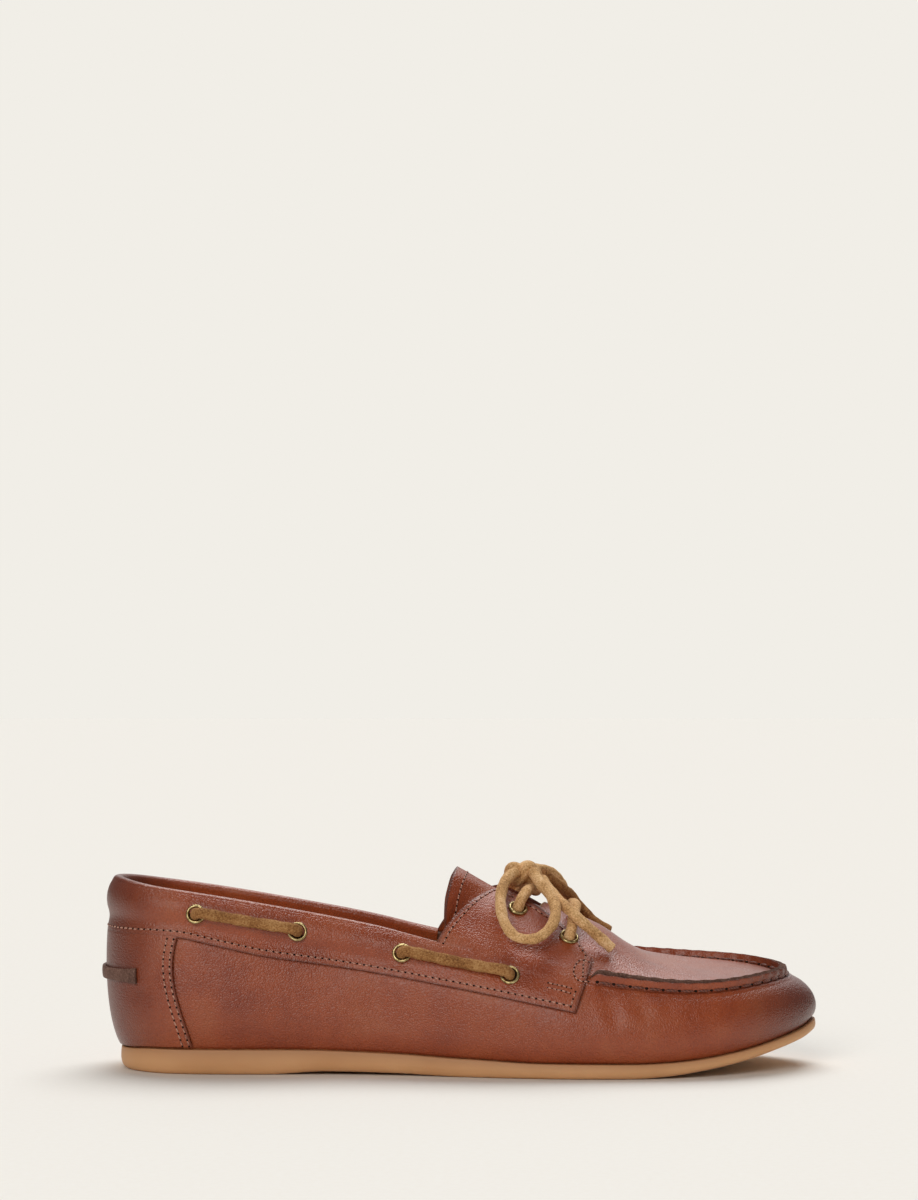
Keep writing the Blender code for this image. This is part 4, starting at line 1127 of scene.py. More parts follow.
# The folds that the photograph shows: pull lines by the last side eyelet, short ripples under
# the front of the eyestay, and the hollows of the waist and of the heel
FOLDS = (
    Fold(Side.LATERAL, (149.0, 45.5), (164.0, 41.5), 3.4, 0.45),
    Fold(Side.LATERAL, (146.0, 38.5), (160.0, 34.0), 3.0, 0.30),
    Fold(Side.LATERAL, (128.0, 56.0), (146.0, 45.0), 4.5, 0.40),
    Fold(Side.LATERAL, (179.0, 33.0), (183.0, 21.0), 3.2, 0.38),
    Fold(Side.LATERAL, (188.0, 33.0), (193.5, 24.0), 2.8, 0.30),
    Fold(Side.LATERAL, (197.0, 33.0), (203.0, 26.0), 2.6, 0.22),
    Fold(Side.LATERAL, (30.0, 55.0), (60.0, 50.0), 5.0, 0.25),
    Fold(Side.LATERAL, (96.0, 24.0), (150.0, 17.0), 9.0, 0.50),
    Fold(Side.LATERAL, (22.0, 40.0), (10.0, 30.0), 5.0, 0.30),
    Fold(Side.MEDIAL, (150.0, 46.0), (166.0, 41.0), 3.4, 0.45),
    Fold(Side.MEDIAL, (130.0, 56.0), (147.0, 46.0), 4.5, 0.40),
    Fold(Side.MEDIAL, (178.0, 35.0), (184.0, 22.0), 3.2, 0.38),
    Fold(Side.MEDIAL, (190.0, 35.0), (196.0, 25.0), 2.8, 0.30),
    Fold(Side.MEDIAL, (90.0, 25.0), (150.0, 18.0), 9.0, 0.60),
    Fold(Side.MEDIAL, (24.0, 40.0), (11.0, 31.0), 5.0, 0.30),
)

# The tacks at the eyestay's front, as places along and up in mm: a patch rounded at its rear
# and a short double bar below it
TACKS = (
    ((173.4, 40.3), (170.4, 41.0), (168.2, 38.9), (167.9, 36.6), (169.6, 34.4), (173.2, 34.0)),
    ((171.4, 39.4), (171.2, 35.8)),
    ((158.6, 34.0), (162.6, 33.1), (166.8, 32.0)),
    ((158.4, 32.4), (162.4, 31.5), (166.6, 30.4)),
)


def folded(points: Array) -> Array:
    """How far the leather's folds press each point in, in metres.

    Args:
        points: Points of the shoe's outside, in its own frame.

    Returns:
        The depth at each, with a low ridge beside each trough counted as negative.
    """
    total = np.zeros(len(points))
    flat = points[:, [0, 2]] / MM
    for fold in FOLDS:
        start, run = np.array(fold.start), np.array(fold.end) - np.array(fold.start)
        part = np.clip((flat - start) @ run / (run @ run), 0, 1)
        away = np.linalg.norm(flat - start - part[:, None] * run, axis=1) / fold.width
        shape = np.exp(-(away**2) * 1.6) - 0.35 * np.exp(-((away - 1.5) ** 2) * 2.5)
        side = points[:, 1] * fold.side.value > 0
        total += np.where(side, shape * fold.depth * MM, 0.0)
    return total


@dataclass
class Seam:
    """The raised moccasin seam, where the wall's leather and the plug's stand up side by side."""

    last: Last
    height: float = 3.4 * MM
    lean: float = 0.3
    blend: float = 3.2 * MM
    pitch: float = 6.0 * MM
    pucker: float = 0.20 * MM
    onset: float = 7.0
    bevel: float = 0.25 * MM
    # How far up the heavy thread is sewn through it, and how far off the leather it lies
    stitched: tuple[float, float] = (0.42, 0.1 * MM)
    # Reach from the seam's middle in mm, and share of its height, from the base to the rim
    rise: tuple[tuple[float, float], ...] = (
        (3.2, 0.0),
        (2.35, 0.0),
        (1.80, 0.04),
        (1.50, 0.20),
        (1.42, 0.45),
        (1.40, 0.72),
        (1.22, 0.96),
        (1.10, 1.0),
    )

    def share(self, u: Array) -> Array:
        """How much of the seam stands at u: none under the eyestay."""
        pair = np.minimum(u, ROUND - u)
        return smoothstep(np.clip((pair - self.last.ridge_start) * self.onset, 0, 1))

    def tilt(self, u: Array) -> Array:
        """How far the seam leans out at u: less round the toe, where it stands up straight."""
        pair = np.minimum(u, ROUND - u)
        return self.lean * (1 - 1.35 * smoothstep(ramp(pair, 9.5, TIP)))

    def wave(self, u: Array) -> Array:
        """The seam's scallops between the stitches, from -1 to 1."""
        around_last = np.linspace(0, ROUND, 1441)
        run = np.interp(u, around_last, distances(self.last.top(around_last)))
        return np.cos(2 * np.pi * run / self.pitch)

    def wear_and_shade(self, u: Array, q: Array, stands: Array) -> tuple[Array, Array]:
        """Gives the rubbed rim of the standing leather, and painted shade in the groove at its
        base.

        Args:
            u: Places round the last.
            q: From 0 at the seam's base to 1 at its rim.
            stands: Whether the leather stands there.

        Returns:
            How dark the painted shade in its groove is, and how rubbed its rim is.
        """
        standing = self.share(u)
        # The first value is painted shade in the groove at the seam's base; the second is the
        # rubbed rim.
        return bell(q, 0.22, 0.10) * standing * stands, ramp(q, 0.80, 0.96) * standing

    def mark(self, bm: BMesh, far_up: Callable[[float], float], start: float) -> None:
        """Gives the standing leather's faces their own slots, outside and inside.

        Args:
            bm: The sheet's mesh.
            far_up: Gives how far toward the rim a point is, for its level.
            start: How far up the leather begins to stand.
        """
        level = bm.verts.layers.float["level"]
        for face in bm.faces:
            if min(far_up(vert[level]) for vert in face.verts) > start - 0.01:
                face.material_index = 2

    def edge(self, u: Array, q: Array, side: int) -> Array:
        """A point of the standing leather.

        Args:
            u: The place round the last.
            q: From 0 at the base to 1 at the rim.
            side: -1 for the wall's leather and +1 for the plug's.

        Returns:
            The points.
        """
        _, _, high, top = self.last.wall_curve(u)
        _, first, _, _ = self.last.dome_curve(u)
        away = unit(first - top) if side > 0 else unit(high - top)
        rows = np.array(self.rise)
        found = spline(rows, q * (len(rows) - 1))
        share = self.share(u)
        scallop = self.wave(u) * self.pucker * np.clip(found[:, 1] * 4, 0, 1)
        flat = self.blend * (1 - q)
        reach = flat + (found[:, 0] * MM + scallop - flat) * share
        lift = self.last.outward(u) * self.tilt(u)[:, None] + UP
        tall = found[:, 1] * self.height * share
        return top + away * reach[:, None] + lift * tall[:, None]


class Stitch(NamedTuple):
    """A kind of stitch: its pitch, length, width and height in mm, its slant and the size of its
    hole's dark dot of painted shade.
    """

    pitch: float
    length: float
    width: float
    height: float
    slant: float
    hole: float


TOPSTITCH = Stitch(2.6, 1.9, 0.70, 0.50, 7.0, 0.36)
MOCCASIN_STITCH = Stitch(6.0, 4.6, 1.15, 0.9, 5.0, 0.62)
TACK_STITCH = Stitch(1.9, 1.35, 0.62, 0.45, 0.0, 0.32)
# How far a stitch lies off the leather, as a share of its height
THREAD_LIFT = 0.12
# The height of a hole's dark dot of painted shade, in mm
HOLE_DEPTH = 0.30


def sew(
    name: str,
    lines: Sequence[tuple[Array, Array]],
    kind: Stitch,
    finishes: Finishes,
    heavy: bool = False,
) -> None:
    """Sews rows of stitches, with dark dots of painted shade for their holes.

    Args:
        name: The name of the thread's piece.
        lines: Pairs of a line's points on the leather and the leather's directions there.
        kind: The stitch.
        finishes: The shoe's materials.
        heavy: Whether it is sewn with the heavy moccasin thread.
    """
    threads, hole_shades = bmesh.new(), bmesh.new()
    for points, normals in lines:
        steps = distances(points)
        count = max(1, round(steps[-1] / (kind.pitch * MM)))
        for index in range(2 * count + 1):
            run = index / (2 * count) * steps[-1]
            place, before, after = (
                read_line(points, steps, run + ahead * MM) for ahead in (0.0, -0.5, 0.5)
            )
            normal = read_line(normals, steps, run)
            tangent = unit(after - before)
            normal = unit(normal - tangent * (normal @ tangent))
            across = np.cross(normal, tangent)
            turn = math.radians(kind.slant)
            if index % 2:
                along = tangent * math.cos(turn) + across * math.sin(turn)
                size = (kind.width, kind.height, kind.length)
                axes = (np.cross(normal, along), normal, along)
                place = place + normal * THREAD_LIFT * kind.height * MM
                target, rings = threads, (8, 6)
            else:
                size = (2.2 * kind.hole, 2.2 * kind.hole, HOLE_DEPTH)
                axes = (tangent, across, normal)
                place = place + normal * 0.02 * MM
                target, rings = hole_shades, (8, 4)
            matrix = Matrix([list(a * s * MM) for a, s in zip(axes, size)]).transposed().to_4x4()
            matrix.translation = Vector(place - ORIGIN)
            bmesh.ops.create_uvsphere(
                target, u_segments=rings[0], v_segments=rings[1], radius=0.5, matrix=matrix
            )
    finish_piece(name, threads, [finishes.cord_thread if heavy else finishes.thread])
    finish_piece(f"{name}_holes", hole_shades, [finishes.hole])


@dataclass
class Vamp:
    """The wall of the upper, from the sole to the raised seam, and its lining."""

    last: Last
    seam: Seam
    finishes: Finishes
    wall: float = 1.5 * MM
    columns: int = 660
    rows: int = 44
    seam_from: float = 0.74

    def place(self, s: Array, t: Array) -> tuple[Array, Array]:
        """Places the wall's outside.

        Args:
            s: Shares of the way round.
            t: Shares of the way up, to the seam's rim.

        Returns:
            The points, and how worn each is, with painted shade in the seam's groove and along the
            foot of the wall.
        """
        u = s * ROUND
        rise = self.last.top(u)[:, 2] - self.last.foot(u)[:, 2]
        pull = self.last.ring(u)[0][:, 5]
        stop = 1 - self.seam.blend / (3 * pull * rise)
        v = np.clip(t / self.seam_from, 0, 1) * stop
        low = self.last.skin(u, v)
        low = low - self.last.normal(u, v) * folded(low)[:, None] * np.clip(4 * v, 0, 1)[:, None]
        q, stands = ramp(t, self.seam_from, 1), t > self.seam_from
        points = np.where(stands[:, None], self.seam.edge(u, q, -1), low)
        # Painted shade: the groove at the seam's base and the foot of the wall by the sole are
        # darkened; the seam's rim is rubbed dark.
        groove, rim = self.seam.wear_and_shade(u, q, stands)
        foot = np.clip(1 - t / 0.03, 0, 1)
        return points, np.clip(0.55 * groove + 0.85 * rim + 0.35 * foot, 0, 1)

    def make(self) -> None:
        """Makes the wall."""
        bm = new_grid(self.columns, self.rows, self.place, closed=True)
        self.seam.mark(bm, lambda level: level, self.seam_from)
        edges = Edges(self.wall, self.seam.bevel, inner_slot=1, rim_slot=1)
        finish_piece(
            "vamp_and_quarters",
            bm,
            self.finishes.lined_leather,
            ["upper"],
            edges,
            (0, 0, 0.03),
        )

    def seam_line(self, side: int) -> tuple[Array, Array]:
        """Draws the heavy stitches' line along the raised seam.

        Args:
            side: -1 for the wall's leather and +1 for the plug's.

        Returns:
            Its points, and the leather's directions there.
        """
        start, (q, lift) = self.last.ridge_start + 0.12, self.seam.stitched
        u = np.linspace(start, ROUND - start, 500)
        points = self.seam.edge(u, np.full(len(u), q), side)
        top, first, _, _ = self.last.dome_curve(u)
        away = unit(first - top) if side > 0 else self.last.outward(u)
        normals = unit(self.last.normal(u, 1.0) * 0.75 + away * 0.65)
        return points + normals * lift, normals


@dataclass
class Plug:
    """The apron over the toes, inside the raised seam."""

    last: Last
    seam: Seam
    finishes: Finishes
    wall: float = 1.4 * MM
    columns: int = 200
    rows: int = 150
    rear: float = 6.95
    seam_from: float = 0.84

    def place(self, s: Array, t: Array) -> tuple[Array, Array]:
        """Places the plug's outside.

        Args:
            s: Shares of the way forward, from under the eyestay to the tip.
            t: Shares of the way across, from the seam's one rim to the other.

        Returns:
            The points, and how worn each is, with painted shade in the seam's groove.
        """
        pair = self.rear + s * (TIP - self.rear)
        across = 2 * t - 1
        u, share = around(pair, across < 0), np.abs(across)
        level = (self.last.middle(u)[0] - self.last.top(u)) * np.array([1.0, 1.0, 0.0])
        start = self.seam.blend / (3 * self.last.dome_pull * np.linalg.norm(level, axis=1))
        v = 2 - np.clip(share / self.seam_from, 0, 1) * (1 - start)
        q, stands = ramp(share, self.seam_from, 1), share > self.seam_from
        points = np.where(stands[:, None], self.seam.edge(u, q, 1), self.last.skin(u, v))
        # Painted shade darkens the groove at the seam's base; the rim is rubbed dark.
        groove, rim = self.seam.wear_and_shade(u, q, stands)
        return points, np.clip(0.5 * groove + 0.85 * rim, 0, 1)

    def make(self) -> None:
        """Makes the plug."""
        bm = new_grid(self.columns, self.rows, self.place, closed=True)
        self.seam.mark(bm, lambda level: abs(2 * level - 1), self.seam_from)
        edges = Edges(self.wall, self.seam.bevel, inner_slot=1, rim_slot=1)
        materials = self.finishes.lined_leather
        finish_piece("toe_plug", bm, materials, (), edges, (0.05, 0, 0.0))


@dataclass
class CollarBand:
    """The band round the collar with its padded roll, and both facings, cut in one piece."""

    last: Last
    finishes: Finishes
    half_columns: int = 150
    throat_share: float = 0.78
    wall_rows: int = 22
    face_rows: int = 18
    roll_rows: int = 18
    thickness: float = 1.2 * MM
    inside: float = 1.9 * MM
    tuck: float = 3.4 * MM
    groove: float = 0.85 * MM
    plump: float = 0.5 * MM
    # How far round an eyelet the leather is pressed in, and how deep
    dish: tuple[float, float] = (4.6 * MM, 0.30 * MM)
    stitch_row: float = 2.1 * MM
    stitch_end: float = 0.990
    fronts: dict = field(init=False)
    eyelets: list = field(init=False)

    def __post_init__(self) -> None:
        """Finds where each row meets the eyestay's front edge, and where the eyelets are."""
        pairs = np.arange(THROAT + 0.5, THROAT + 3.0, 0.02)
        rows = np.linspace(0, 1, 13)
        self.fronts = {}
        for side in Side:
            u = self.last.place(pairs, side)
            low = self.last.edge_share(u)
            on_wall = [self.crossing(pairs, u, low + (1 - low) * row) for row in rows]
            on_face = [self.crossing(pairs, u, 1 + FACING[-1][1] * row) for row in rows]
            self.fronts[side] = (rows, np.array(on_wall), np.array(on_face))
        self.eyelets = [
            self.last.skin(np.array([u]), np.array([v]))[0]
            for side in Side
            for u, v, _ in self.last.seats(side)
        ]

    def crossing(self, pairs: Array, u: Array, v: Array) -> float:
        """Finds where a row meets the front edge.

        Args:
            pairs: The stations' pairs of its points.
            u: Their places round the last.
            v: How far up they are.

        Returns:
            The pair at which it crosses the edge.
        """
        points = self.last.skin(u, v)
        heights, alongs = np.array(EYESTAY_FRONT).T
        edge = np.interp(
            points[:, 2], heights * self.last.instep_height, alongs * self.last.sole_length
        )
        return float(np.interp(0.0, points[:, 0] - edge, pairs))

    def pressed(self, points: Array) -> Array:
        """How far the leather is pressed in at each point, by folds and by the eyelets."""
        depth = folded(points)
        for seat in self.eyelets:
            away = np.linalg.norm(points - seat, axis=1) / self.dish[0]
            depth = depth + self.dish[1] * np.exp(-(away**4))
        return depth

    def wall_place(self, s: Array, t: Array) -> tuple[Array, Array]:
        """Places the band on the wall.

        Args:
            s: Shares of the way from the medial front round the heel to the lateral one.
            t: Shares of the way up, from the band's lower edge to the wall's top.

        Returns:
            The points, and how worn each is.
        """
        share = np.abs(2 * s - 1)
        lateral = s > 0.5
        rows, low_l, _ = self.fronts[Side.LATERAL]
        _, low_m, _ = self.fronts[Side.MEDIAL]
        front = np.where(lateral, np.interp(t, rows, low_l), np.interp(t, rows, low_m))
        forward = ramp(share, self.throat_share, 1)
        pair = np.where(
            share <= self.throat_share,
            THROAT * share / self.throat_share,
            THROAT + (front - THROAT) * forward,
        )
        u = around(pair, lateral)
        low = self.last.edge_share(u)
        v = low + (1 - low) * t
        face = self.last.skin(u, v)
        soft = np.clip(6 * t, 0, 1) * np.clip(6 * (1 - t), 0, 1)
        swell = self.plump * bell(t, 0.72, 0.22) - self.groove * bell(t, 0.30, 0.13)
        lift = self.last.band_face(u, t) - self.pressed(face) * soft + self.last.padding(u) * swell
        worn = np.maximum(np.clip(1 - t / 0.05, 0, 1), ramp(forward, 0.965, 1))
        return face + self.last.normal(u, v) * lift[:, None], 0.75 * worn

    def face_place(self, side: Side, f: Array, g: Array) -> tuple[Array, Array]:
        """Places one facing.

        Args:
            side: Its side of the foot.
            f: Shares of the way from the throat to the front edge.
            g: Shares of the way up, from the wall's top to the facing's edge.

        Returns:
            The points, and how worn each is.
        """
        rows, _, high = self.fronts[side]
        pair = THROAT + (np.interp(g, rows, high) - THROAT) * f
        u = self.last.place(pair, side)
        steps, ups = np.array(FACING).T
        v = 1 + rounded_steps(steps, ups, f) * g
        face = self.last.skin(u, v)
        lift = self.last.overlay + self.last.overlay_gap
        lift = lift + (self.last.band_face(u, np.ones(len(u))) - lift) * (1 - g) ** 2
        soft = np.clip(5 * (1 - g), 0, 1) * np.clip(5 * g, 0, 1) * np.clip(5 * (1 - f), 0, 1)
        lift = lift - self.pressed(face) * soft
        rim = np.maximum(np.clip(1 - f / 0.03, 0, 1), ramp(f, 0.965, 1))
        worn = np.maximum(rim, ramp(g, 0.95, 1))
        return face + self.last.normal(u, v) * lift[:, None], 0.75 * worn

    def roll_place(self, s: Array, t: Array) -> tuple[Array, Array]:
        """Places the padded roll over the collar's top.

        Args:
            s: Shares of the way from the medial throat round the heel to the lateral one.
            t: Shares of the way over it, from the outside to the inside.

        Returns:
            The points, and how worn each is.
        """
        share = np.abs(2 * s - 1)
        u = around(THROAT * share, s > 0.5)
        _, _, high, top = self.last.wall_curve(u)
        normal, up = self.last.normal(u, 1.0), unit(top - high)
        outer = self.last.band_face(u, np.ones(len(u)))
        fade = ramp(share, 0.88, 1)
        middle = top + normal * ((outer - self.inside) / 2)[:, None]
        half = (outer + self.inside) / 2
        tall = (0.8 + 1.0 * self.last.padding(u)) * MM * (1 - 0.4 * fade)
        turn = np.pi * np.clip(t / 0.6, 0, 1)
        down = ramp(t, 0.6, 1) * self.tuck
        points = middle + normal * (half * np.cos(turn))[:, None]
        points = points + up * (tall * np.sin(turn) - down)[:, None]
        return points, 0.6 * ramp(t, 0.95, 1)

    def make(self) -> None:
        """Makes the band."""
        columns = 2 * self.half_columns
        front = round(self.half_columns * (1 - self.throat_share))
        parts = [new_grid(columns, self.wall_rows, self.wall_place)]
        parts.append(new_grid(columns - 2 * front, self.roll_rows, self.roll_place))
        for side in Side:
            parts.append(new_grid(front, self.face_rows, partial(self.face_place, side)))
        bm = joined(parts)
        bmesh.ops.recalc_face_normals(bm, faces=bm.faces)
        self.finishes.finish_leather("collar_band", bm, self.thickness, (0, 0, 0.05))

    def low_line(self, side: Side) -> tuple[Array, Array]:
        """Draws a line a little above the band's lower edge, from the heel to near its front.

        Args:
            side: Its side of the foot.

        Returns:
            Its points, and the leather's directions there.
        """
        s = 0.5 - side.value * 0.5 * np.linspace(0, self.stitch_end, 400)
        low, _ = self.wall_place(s, np.zeros(len(s)))
        high, _ = self.wall_place(s, np.ones(len(s)))
        t = self.stitch_row / np.linalg.norm(high - low, axis=1)
        return self.on_sheet(self.wall_place, s, t)

    def placed_line(self, route: Sequence, side: Side) -> tuple[Array, Array]:
        """Draws a line on the band.

        Args:
            route: Places along and up, in mm.
            side: Its side of the foot.

        Returns:
            Its points, and the leather's directions there.
        """
        found = [self.last.seat(along * MM, up * MM, side) for along, up in route]
        line = smooth_line([(*place, 0.0) for place in found], 0.02)
        u, v = line[:, 0], line[:, 1]
        lift = self.last.overlay_gap + self.last.overlay
        points = self.last.raised(u, v, lift)
        lift = lift - self.pressed(points)
        return self.last.raised(u, v, lift), self.last.normal(u, v)

    def on_sheet(
        self, place: Callable[[Array, Array], tuple], s: Array, t: Array
    ) -> tuple[Array, Array]:
        """Reads one of the band's sheets.

        Args:
            place: What places the sheet.
            s: Shares across it.
            t: Shares up it.

        Returns:
            The points there, and the sheet's outward directions.
        """
        near = 1e-3
        points, ahead, above = (place(s + a, t + b)[0] for a, b in ((0, 0), (near, 0), (0, near)))
        normal = unit(np.cross(ahead - points, above - points))
        out = points - np.array([0.12, 0.0, 0.02])
        out[:, 0] = 0.0
        return points, normal * np.sign((normal * out).sum(axis=1))[:, None]

    def sew(self) -> None:
        """Sews the band's rows of stitches."""
        lines = []
        # Up the throat, along the facing's edge and down its front: share forward, and share up
        turns = ((0.045, 0.0), (0.045, 0.91), (0.95, 0.91), (0.95, 0.45))
        for side in Side:
            lines.append(self.low_line(side))
            t = np.linspace(0.12, 0.52, 40)
            s = np.full(40, 0.5 - side.value * 0.5 * self.stitch_end)
            lines.append(self.on_sheet(self.wall_place, s, t))
            f, g = np.concatenate(
                [np.linspace(*ends, count) for *ends, count in zip(turns, turns[1:], (40, 90, 30))]
            ).T
            lines.append(self.on_sheet(partial(self.face_place, side), f, g))
        sew("band_topstitch", lines, TOPSTITCH, self.finishes)
        tacks = [self.placed_line(route, side) for side in Side for route in TACKS]
        sew("band_tacks", tacks, TACK_STITCH, self.finishes)


@dataclass
class HeelCounter:
    """The leather laid round the heel, below the collar band, with two rows of stitches."""

    last: Last
    finishes: Finishes
    start: float = 0.035
    columns: int = 150
    rows: int = 40
    thickness: float = 1.2 * MM
    stitch_rows: tuple[float, float] = (1.0 * MM, 3.5 * MM)
    fronts: dict = field(init=False)

    def __post_init__(self) -> None:
        """Finds where each row meets the counter's front edge."""
        self.fronts = {}
        pairs, rows = np.arange(0.2, 5.0, 0.02), np.linspace(0, 1, 13)
        heights, alongs = np.array(COUNTER_FRONT).T
        curve = np.polyfit(heights, alongs, 3)
        for side in Side:
            found = []
            for row in rows:
                u = self.last.place(pairs, side)
                points = self.last.skin(u, self.share(u, row))
                height = np.clip(points[:, 2] / self.last.heel_height, heights[0], heights[-1])
                edge = np.polyval(curve, height) * self.last.sole_length
                found.append(np.interp(0.0, points[:, 0] - edge, pairs))
            self.fronts[side] = (rows, np.array(found))

    def share(self, u: Array, t: Array | float) -> Array:
        """How far up the wall a row of the counter is."""
        return self.start + (self.last.edge_share(u) + 0.01 - self.start) * t

    def place(self, s: Array, t: Array) -> tuple[Array, Array]:
        """Places the counter's face.

        Args:
            s: Shares of the way from the medial edge round the heel to the lateral one.
            t: Shares of the way up.

        Returns:
            The points, and how worn each is.
        """
        part = np.abs(2 * s - 1)
        lateral, medial = (np.interp(t, *self.fronts[side]) for side in Side)
        u = around(np.where(s > 0.5, lateral, medial) * part, s > 0.5)
        v = self.share(u, t)
        points = self.last.skin(u, v)
        soft = np.clip(8 * (1 - t), 0, 1) * np.clip(8 * (1 - part), 0, 1)
        lift = self.last.overlay_gap + self.last.overlay - folded(points) * soft
        return points + self.last.normal(u, v) * lift[:, None], 0.6 * ramp(part, 0.97, 1)

    def make(self) -> None:
        """Makes the counter and sews it."""
        bm = new_grid(self.columns, self.rows, self.place)
        self.finishes.finish_leather("heel_counter", bm, self.thickness, (0, 0, 0.03))
        lines = []
        t = np.linspace(0.02, 0.97, 120)
        for side in Side:
            ahead = -0.5 * side.value
            edge, near = (self.place(0.5 + ahead * at + 0 * t, t)[0] for at in (1.0, 0.9))
            for back in self.stitch_rows:
                part = 1 - 0.1 * back / np.linalg.norm(edge - near, axis=1)
                points, _ = self.place(0.5 + ahead * part, t)
                pairs = np.interp(t, *self.fronts[side]) * part
                u = self.last.place(pairs, side)
                lines.append((points, self.last.normal(u, self.share(u, t))))
        sew("counter_topstitch", lines, TOPSTITCH, self.finishes)


@dataclass
class HeelStrap:
    """The narrow dark strap across the back of the heel, flared at its two ends."""

    last: Last
    finishes: Finishes
    up: float = 0.511
    reach: float = 0.034
    width: float = 4.6 * MM
    end_width: float = 5.8 * MM
    thickness: float = 1.3 * MM
    columns: int = 36
    rows: int = 8
    # The power with which it flares toward its ends, and how far its edges round off
    flare: int = 7
    rounding: float = 0.25 * MM

    def place(self, s: Array, t: Array) -> tuple[Array, Array]:
        """Places the strap's face.

        Args:
            s: Shares of the way from the medial end round the heel to the lateral one.
            t: Shares of the way up.

        Returns:
            The points, and how worn each is.
        """
        level, reach = self.up * self.last.heel_height, self.reach * self.last.sole_length
        pairs, shares = np.arange(0.0, 3.0, 0.05), np.linspace(0.2, 0.9, 141)
        part = np.abs(2 * s - 1)
        points = np.zeros((len(s), 3))
        for side in Side:
            u, v = np.meshgrid(self.last.place(pairs, side), shares, indexing="ij")
            skin = self.last.skin(u, v)
            at_level = [np.interp(level, column[:, 2], column[:, 0]) for column in skin]
            stop = float(np.interp(reach, at_level, pairs))
            here = (s > 0.5) if side is Side.LATERAL else (s <= 0.5)
            half = (self.width + (self.end_width - self.width) * part[here] ** self.flare) / 2
            tall = level + half * (2 * t[here] - 1)
            place = self.last.place(stop * part[here], side)
            grid = self.last.skin(place[:, None], shares)
            share = np.array([np.interp(z, row[:, 2], shares) for z, row in zip(tall, grid)])
            lift = 2 * self.last.overlay_gap + self.last.overlay + self.thickness
            rounded = self.rounding * (2 * t[here] - 1) ** 2
            points[here] = self.last.raised(place, share, lift - rounded)
        return points, 0.35 * np.abs(2 * t - 1) ** 4

    def make(self) -> None:
        """Makes the strap."""
        bm = new_grid(self.columns, self.rows, self.place)
        edges, name = Edges(self.thickness, 0.3 * MM), "heel_strap"
        leather, facing = [self.finishes.strap], (0.01, 0, 0.03)
        finish_piece(name, bm, leather, [name], edges, facing)


@dataclass
class Tongue:
    """The tongue, from its arched rear edge down under the facings and the plug."""

    last: Last
    finishes: Finishes
    front: float = 7.45
    thickness: float = 1.7 * MM
    rear_share: float = 0.5
    stitch_row: float = 4.4 * MM
    depth: float = 2.1 * MM
    fineness: int = 60

    def place(self, s: Array, t: Array) -> tuple[Array, Array]:
        """Places the tongue's upper face.

        Args:
            s: Shares of the way forward from its rear edge.
            t: Shares of the way across, from the lateral edge to the medial one.

        Returns:
            The points, and how worn each is.
        """
        rows = np.array(TONGUE_REAR)
        share, across = np.abs(2 * t - 1), np.sign(2 * t - 1)
        up = rows[-1, 0] + (rows[0, 0] - rows[-1, 0]) * share
        scale = (self.last.sole_length, self.last.ball_width, self.last.instep_height)
        columns = (rounded_steps(rows[:, 0], rows[:, k + 1], up) * scale[k] for k in range(3))
        rear = np.stack(list(columns), axis=1)
        rear[:, 1] *= -across
        pair = THROAT + (self.front - THROAT) * ramp(s, self.rear_share, 1)
        lateral = across <= 0
        under = self.last.raised(around(pair, lateral), 1 + up, -self.depth)
        meet, ahead = (
            self.last.raised(around(THROAT + on, lateral), 1 + up, -self.depth) for on in (0.0, 0.1)
        )
        part = np.clip(s / self.rear_share, 0, 1)[:, None]
        tangent = unit(ahead - meet) * np.linalg.norm(meet - rear, axis=1)[:, None]
        free = hermite(rear, meet, meet - rear, tangent, part)
        points = np.where((s < self.rear_share)[:, None], free, under)
        return points, 0.75 * np.clip(1 - s / 0.02, 0, 1)

    def make(self) -> None:
        """Makes the tongue and sews its row of stitches."""
        bm = new_grid(self.fineness, self.fineness, self.place)
        self.finishes.finish_leather("tongue", bm, self.thickness, (0.16, 0, -0.05))
        t = np.linspace(0.03, 0.97, 160)
        back, some = (self.place(0 * t + s, t)[0] for s in (0.0, 0.1))
        s = 0.1 * self.stitch_row / np.linalg.norm(some - back, axis=1)
        points, ahead, beside = (
            self.place(s + a, t + b)[0] for a, b in ((0, 0), (0.01, 0), (0, 0.004))
        )
        normal = unit(np.cross(ahead - points, beside - points))
        normal = normal * np.sign(normal[:, 2:3])
        sew("tongue_topstitch", [(points, normal)], TOPSTITCH, self.finishes)


